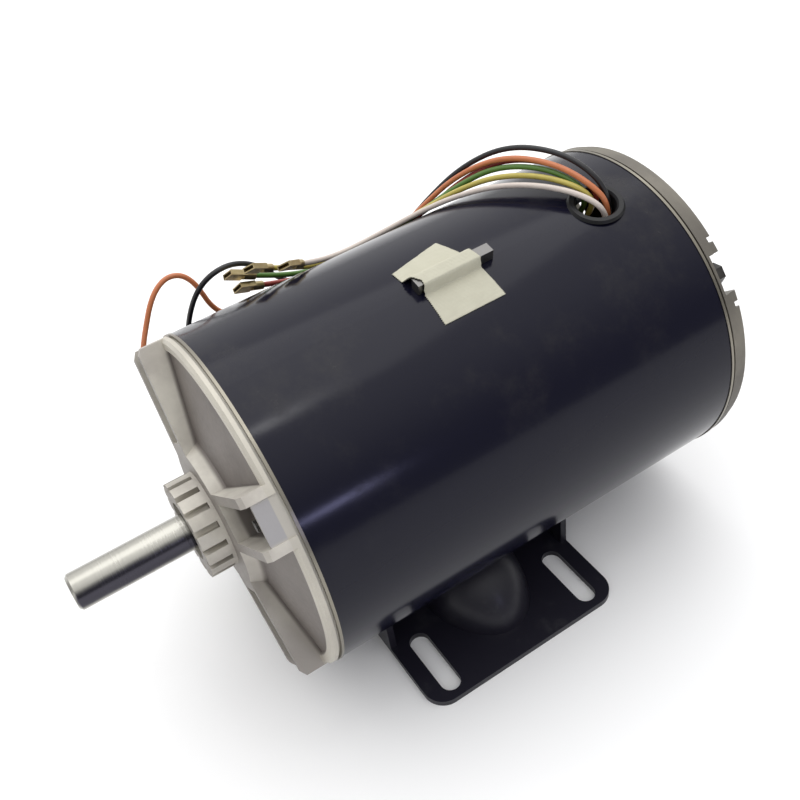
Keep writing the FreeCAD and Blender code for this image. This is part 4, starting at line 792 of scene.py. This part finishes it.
TAPE_CREAM = (0.54, 0.527, 0.425)
TAPE_SHADE = (0.41, 0.395, 0.31)
creped_paper, shader, place = start_finish("creped_paper", TAPE_CREAM, roughness=0.75)
crepe = grain(place, scale=900.0, detail=3.0, stretch=(1.0, 0.25, 1.0))
fibres = grain(place, scale=130.0, detail=6.0)
feed(shader, {
    "Base Color": mix_colours(0.6 * fibres + 0.4 * crepe, TAPE_SHADE, TAPE_CREAM),
    "Roughness": 0.65 + 0.2 * fibres,
    "Normal": relief(crepe, depth=0.00012, strength=0.7),
})
tape_mesh.materials.append(creped_paper)
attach(tape, "motor")
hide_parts("key_tape")


# Studio
# The motor stands on a wide pale floor under an even sky that is brightest overhead. One large
# soft lamp gives it a shadow, and two small windows draw streaks along the shell.

FLOOR_HALF = 60.0
FLOOR_PALE = (0.93, 0.93, 0.93)
floor_mesh = bpy.data.meshes.new("floor")
ways = ((-1, -1), (1, -1), (1, 1), (-1, 1))
floor_corners = [(FLOOR_HALF * x, FLOOR_HALF * y, 0) for x, y in ways]
floor_mesh.from_pydata(floor_corners, [], [(0, 1, 2, 3)])
floor = bpy.data.objects.new("floor", floor_mesh)
bpy.context.scene.collection.objects.link(floor)
floor_white, *_ = start_finish("floor_white", FLOOR_PALE, roughness=0.9, specular_ior_level=0.0)
floor_mesh.materials.append(floor_white)

SHADE_LEVEL = 0.32
BRIGHT_LEVEL = 1.55
BRIGHT_SIDE = (0.36, -0.06, 0.93)
BRIGHT_EDGE = (-0.1, 0.95)
sky = bpy.data.worlds.new("studio_sky")
sky.use_nodes = True
bpy.context.scene.world = sky
background = sky.node_tree.nodes["Background"]
background.inputs["Color"].default_value = (1.0, 1.0, 1.0, 1.0)
direction = Tone(sky.node_tree.nodes.new("ShaderNodeTexCoord").outputs["Generated"])
brightness = rise(share_along(direction, BRIGHT_SIDE), *BRIGHT_EDGE)
feed(background, {"Strength": SHADE_LEVEL + (BRIGHT_LEVEL - SHADE_LEVEL) * brightness})

MOTOR_MIDDLE = Vector((0.0, 0.0, 0.09))
WINDOW_BLUE = (0.58, 0.58, 1.0)


def lamp(name, place, width, length, power, colour=(1.0, 1.0, 1.0)):
    """Area lamp that faces the motor."""
    light = bpy.data.lights.new(name, "AREA")
    light.shape = "RECTANGLE"
    light.size = width
    light.size_y = length
    light.energy = power
    light.color = colour
    fitting = bpy.data.objects.new(name, light)
    bpy.context.scene.collection.objects.link(fitting)
    facing = (MOTOR_MIDDLE - Vector(place)).to_track_quat("-Z", "Y")
    fitting.matrix_world = Matrix.Translation(place) @ facing.to_matrix().to_4x4()


lamp("overhead_softbox", (0.45, -0.3, 1.5), width=1.3, length=1.3, power=6.0)
lamp(
    "near_window", (-0.888, -0.125, 0.428), width=0.12, length=0.05, power=0.3, colour=WINDOW_BLUE,
)
lamp("roof_window", (-0.17, -0.105, 1.025), width=0.08, length=0.08, power=0.2)

CAMERA_PLACE = Vector((-0.28023, 0.13981, 0.39369))
CAMERA_RIGHT = Vector((-0.533602, -0.837153, -0.120183))
CAMERA_UP = Vector((0.537643, -0.445468, 0.715890))
CAMERA_BACK = Vector((-0.652847, 0.317385, 0.687792))
camera_data = bpy.data.cameras.new("photo_camera")
camera_data.sensor_width = 36.0
camera_data.lens = 44.54
camera_data.clip_start = 0.01
camera = bpy.data.objects.new("photo_camera", camera_data)
bpy.context.scene.collection.objects.link(camera)
turned = Matrix((CAMERA_RIGHT, CAMERA_UP, CAMERA_BACK)).transposed()
camera.matrix_world = Matrix.Translation(CAMERA_PLACE) @ turned.to_4x4()
bpy.context.scene.camera = camera
bpy.context.scene.view_settings.view_transform = "Standard"
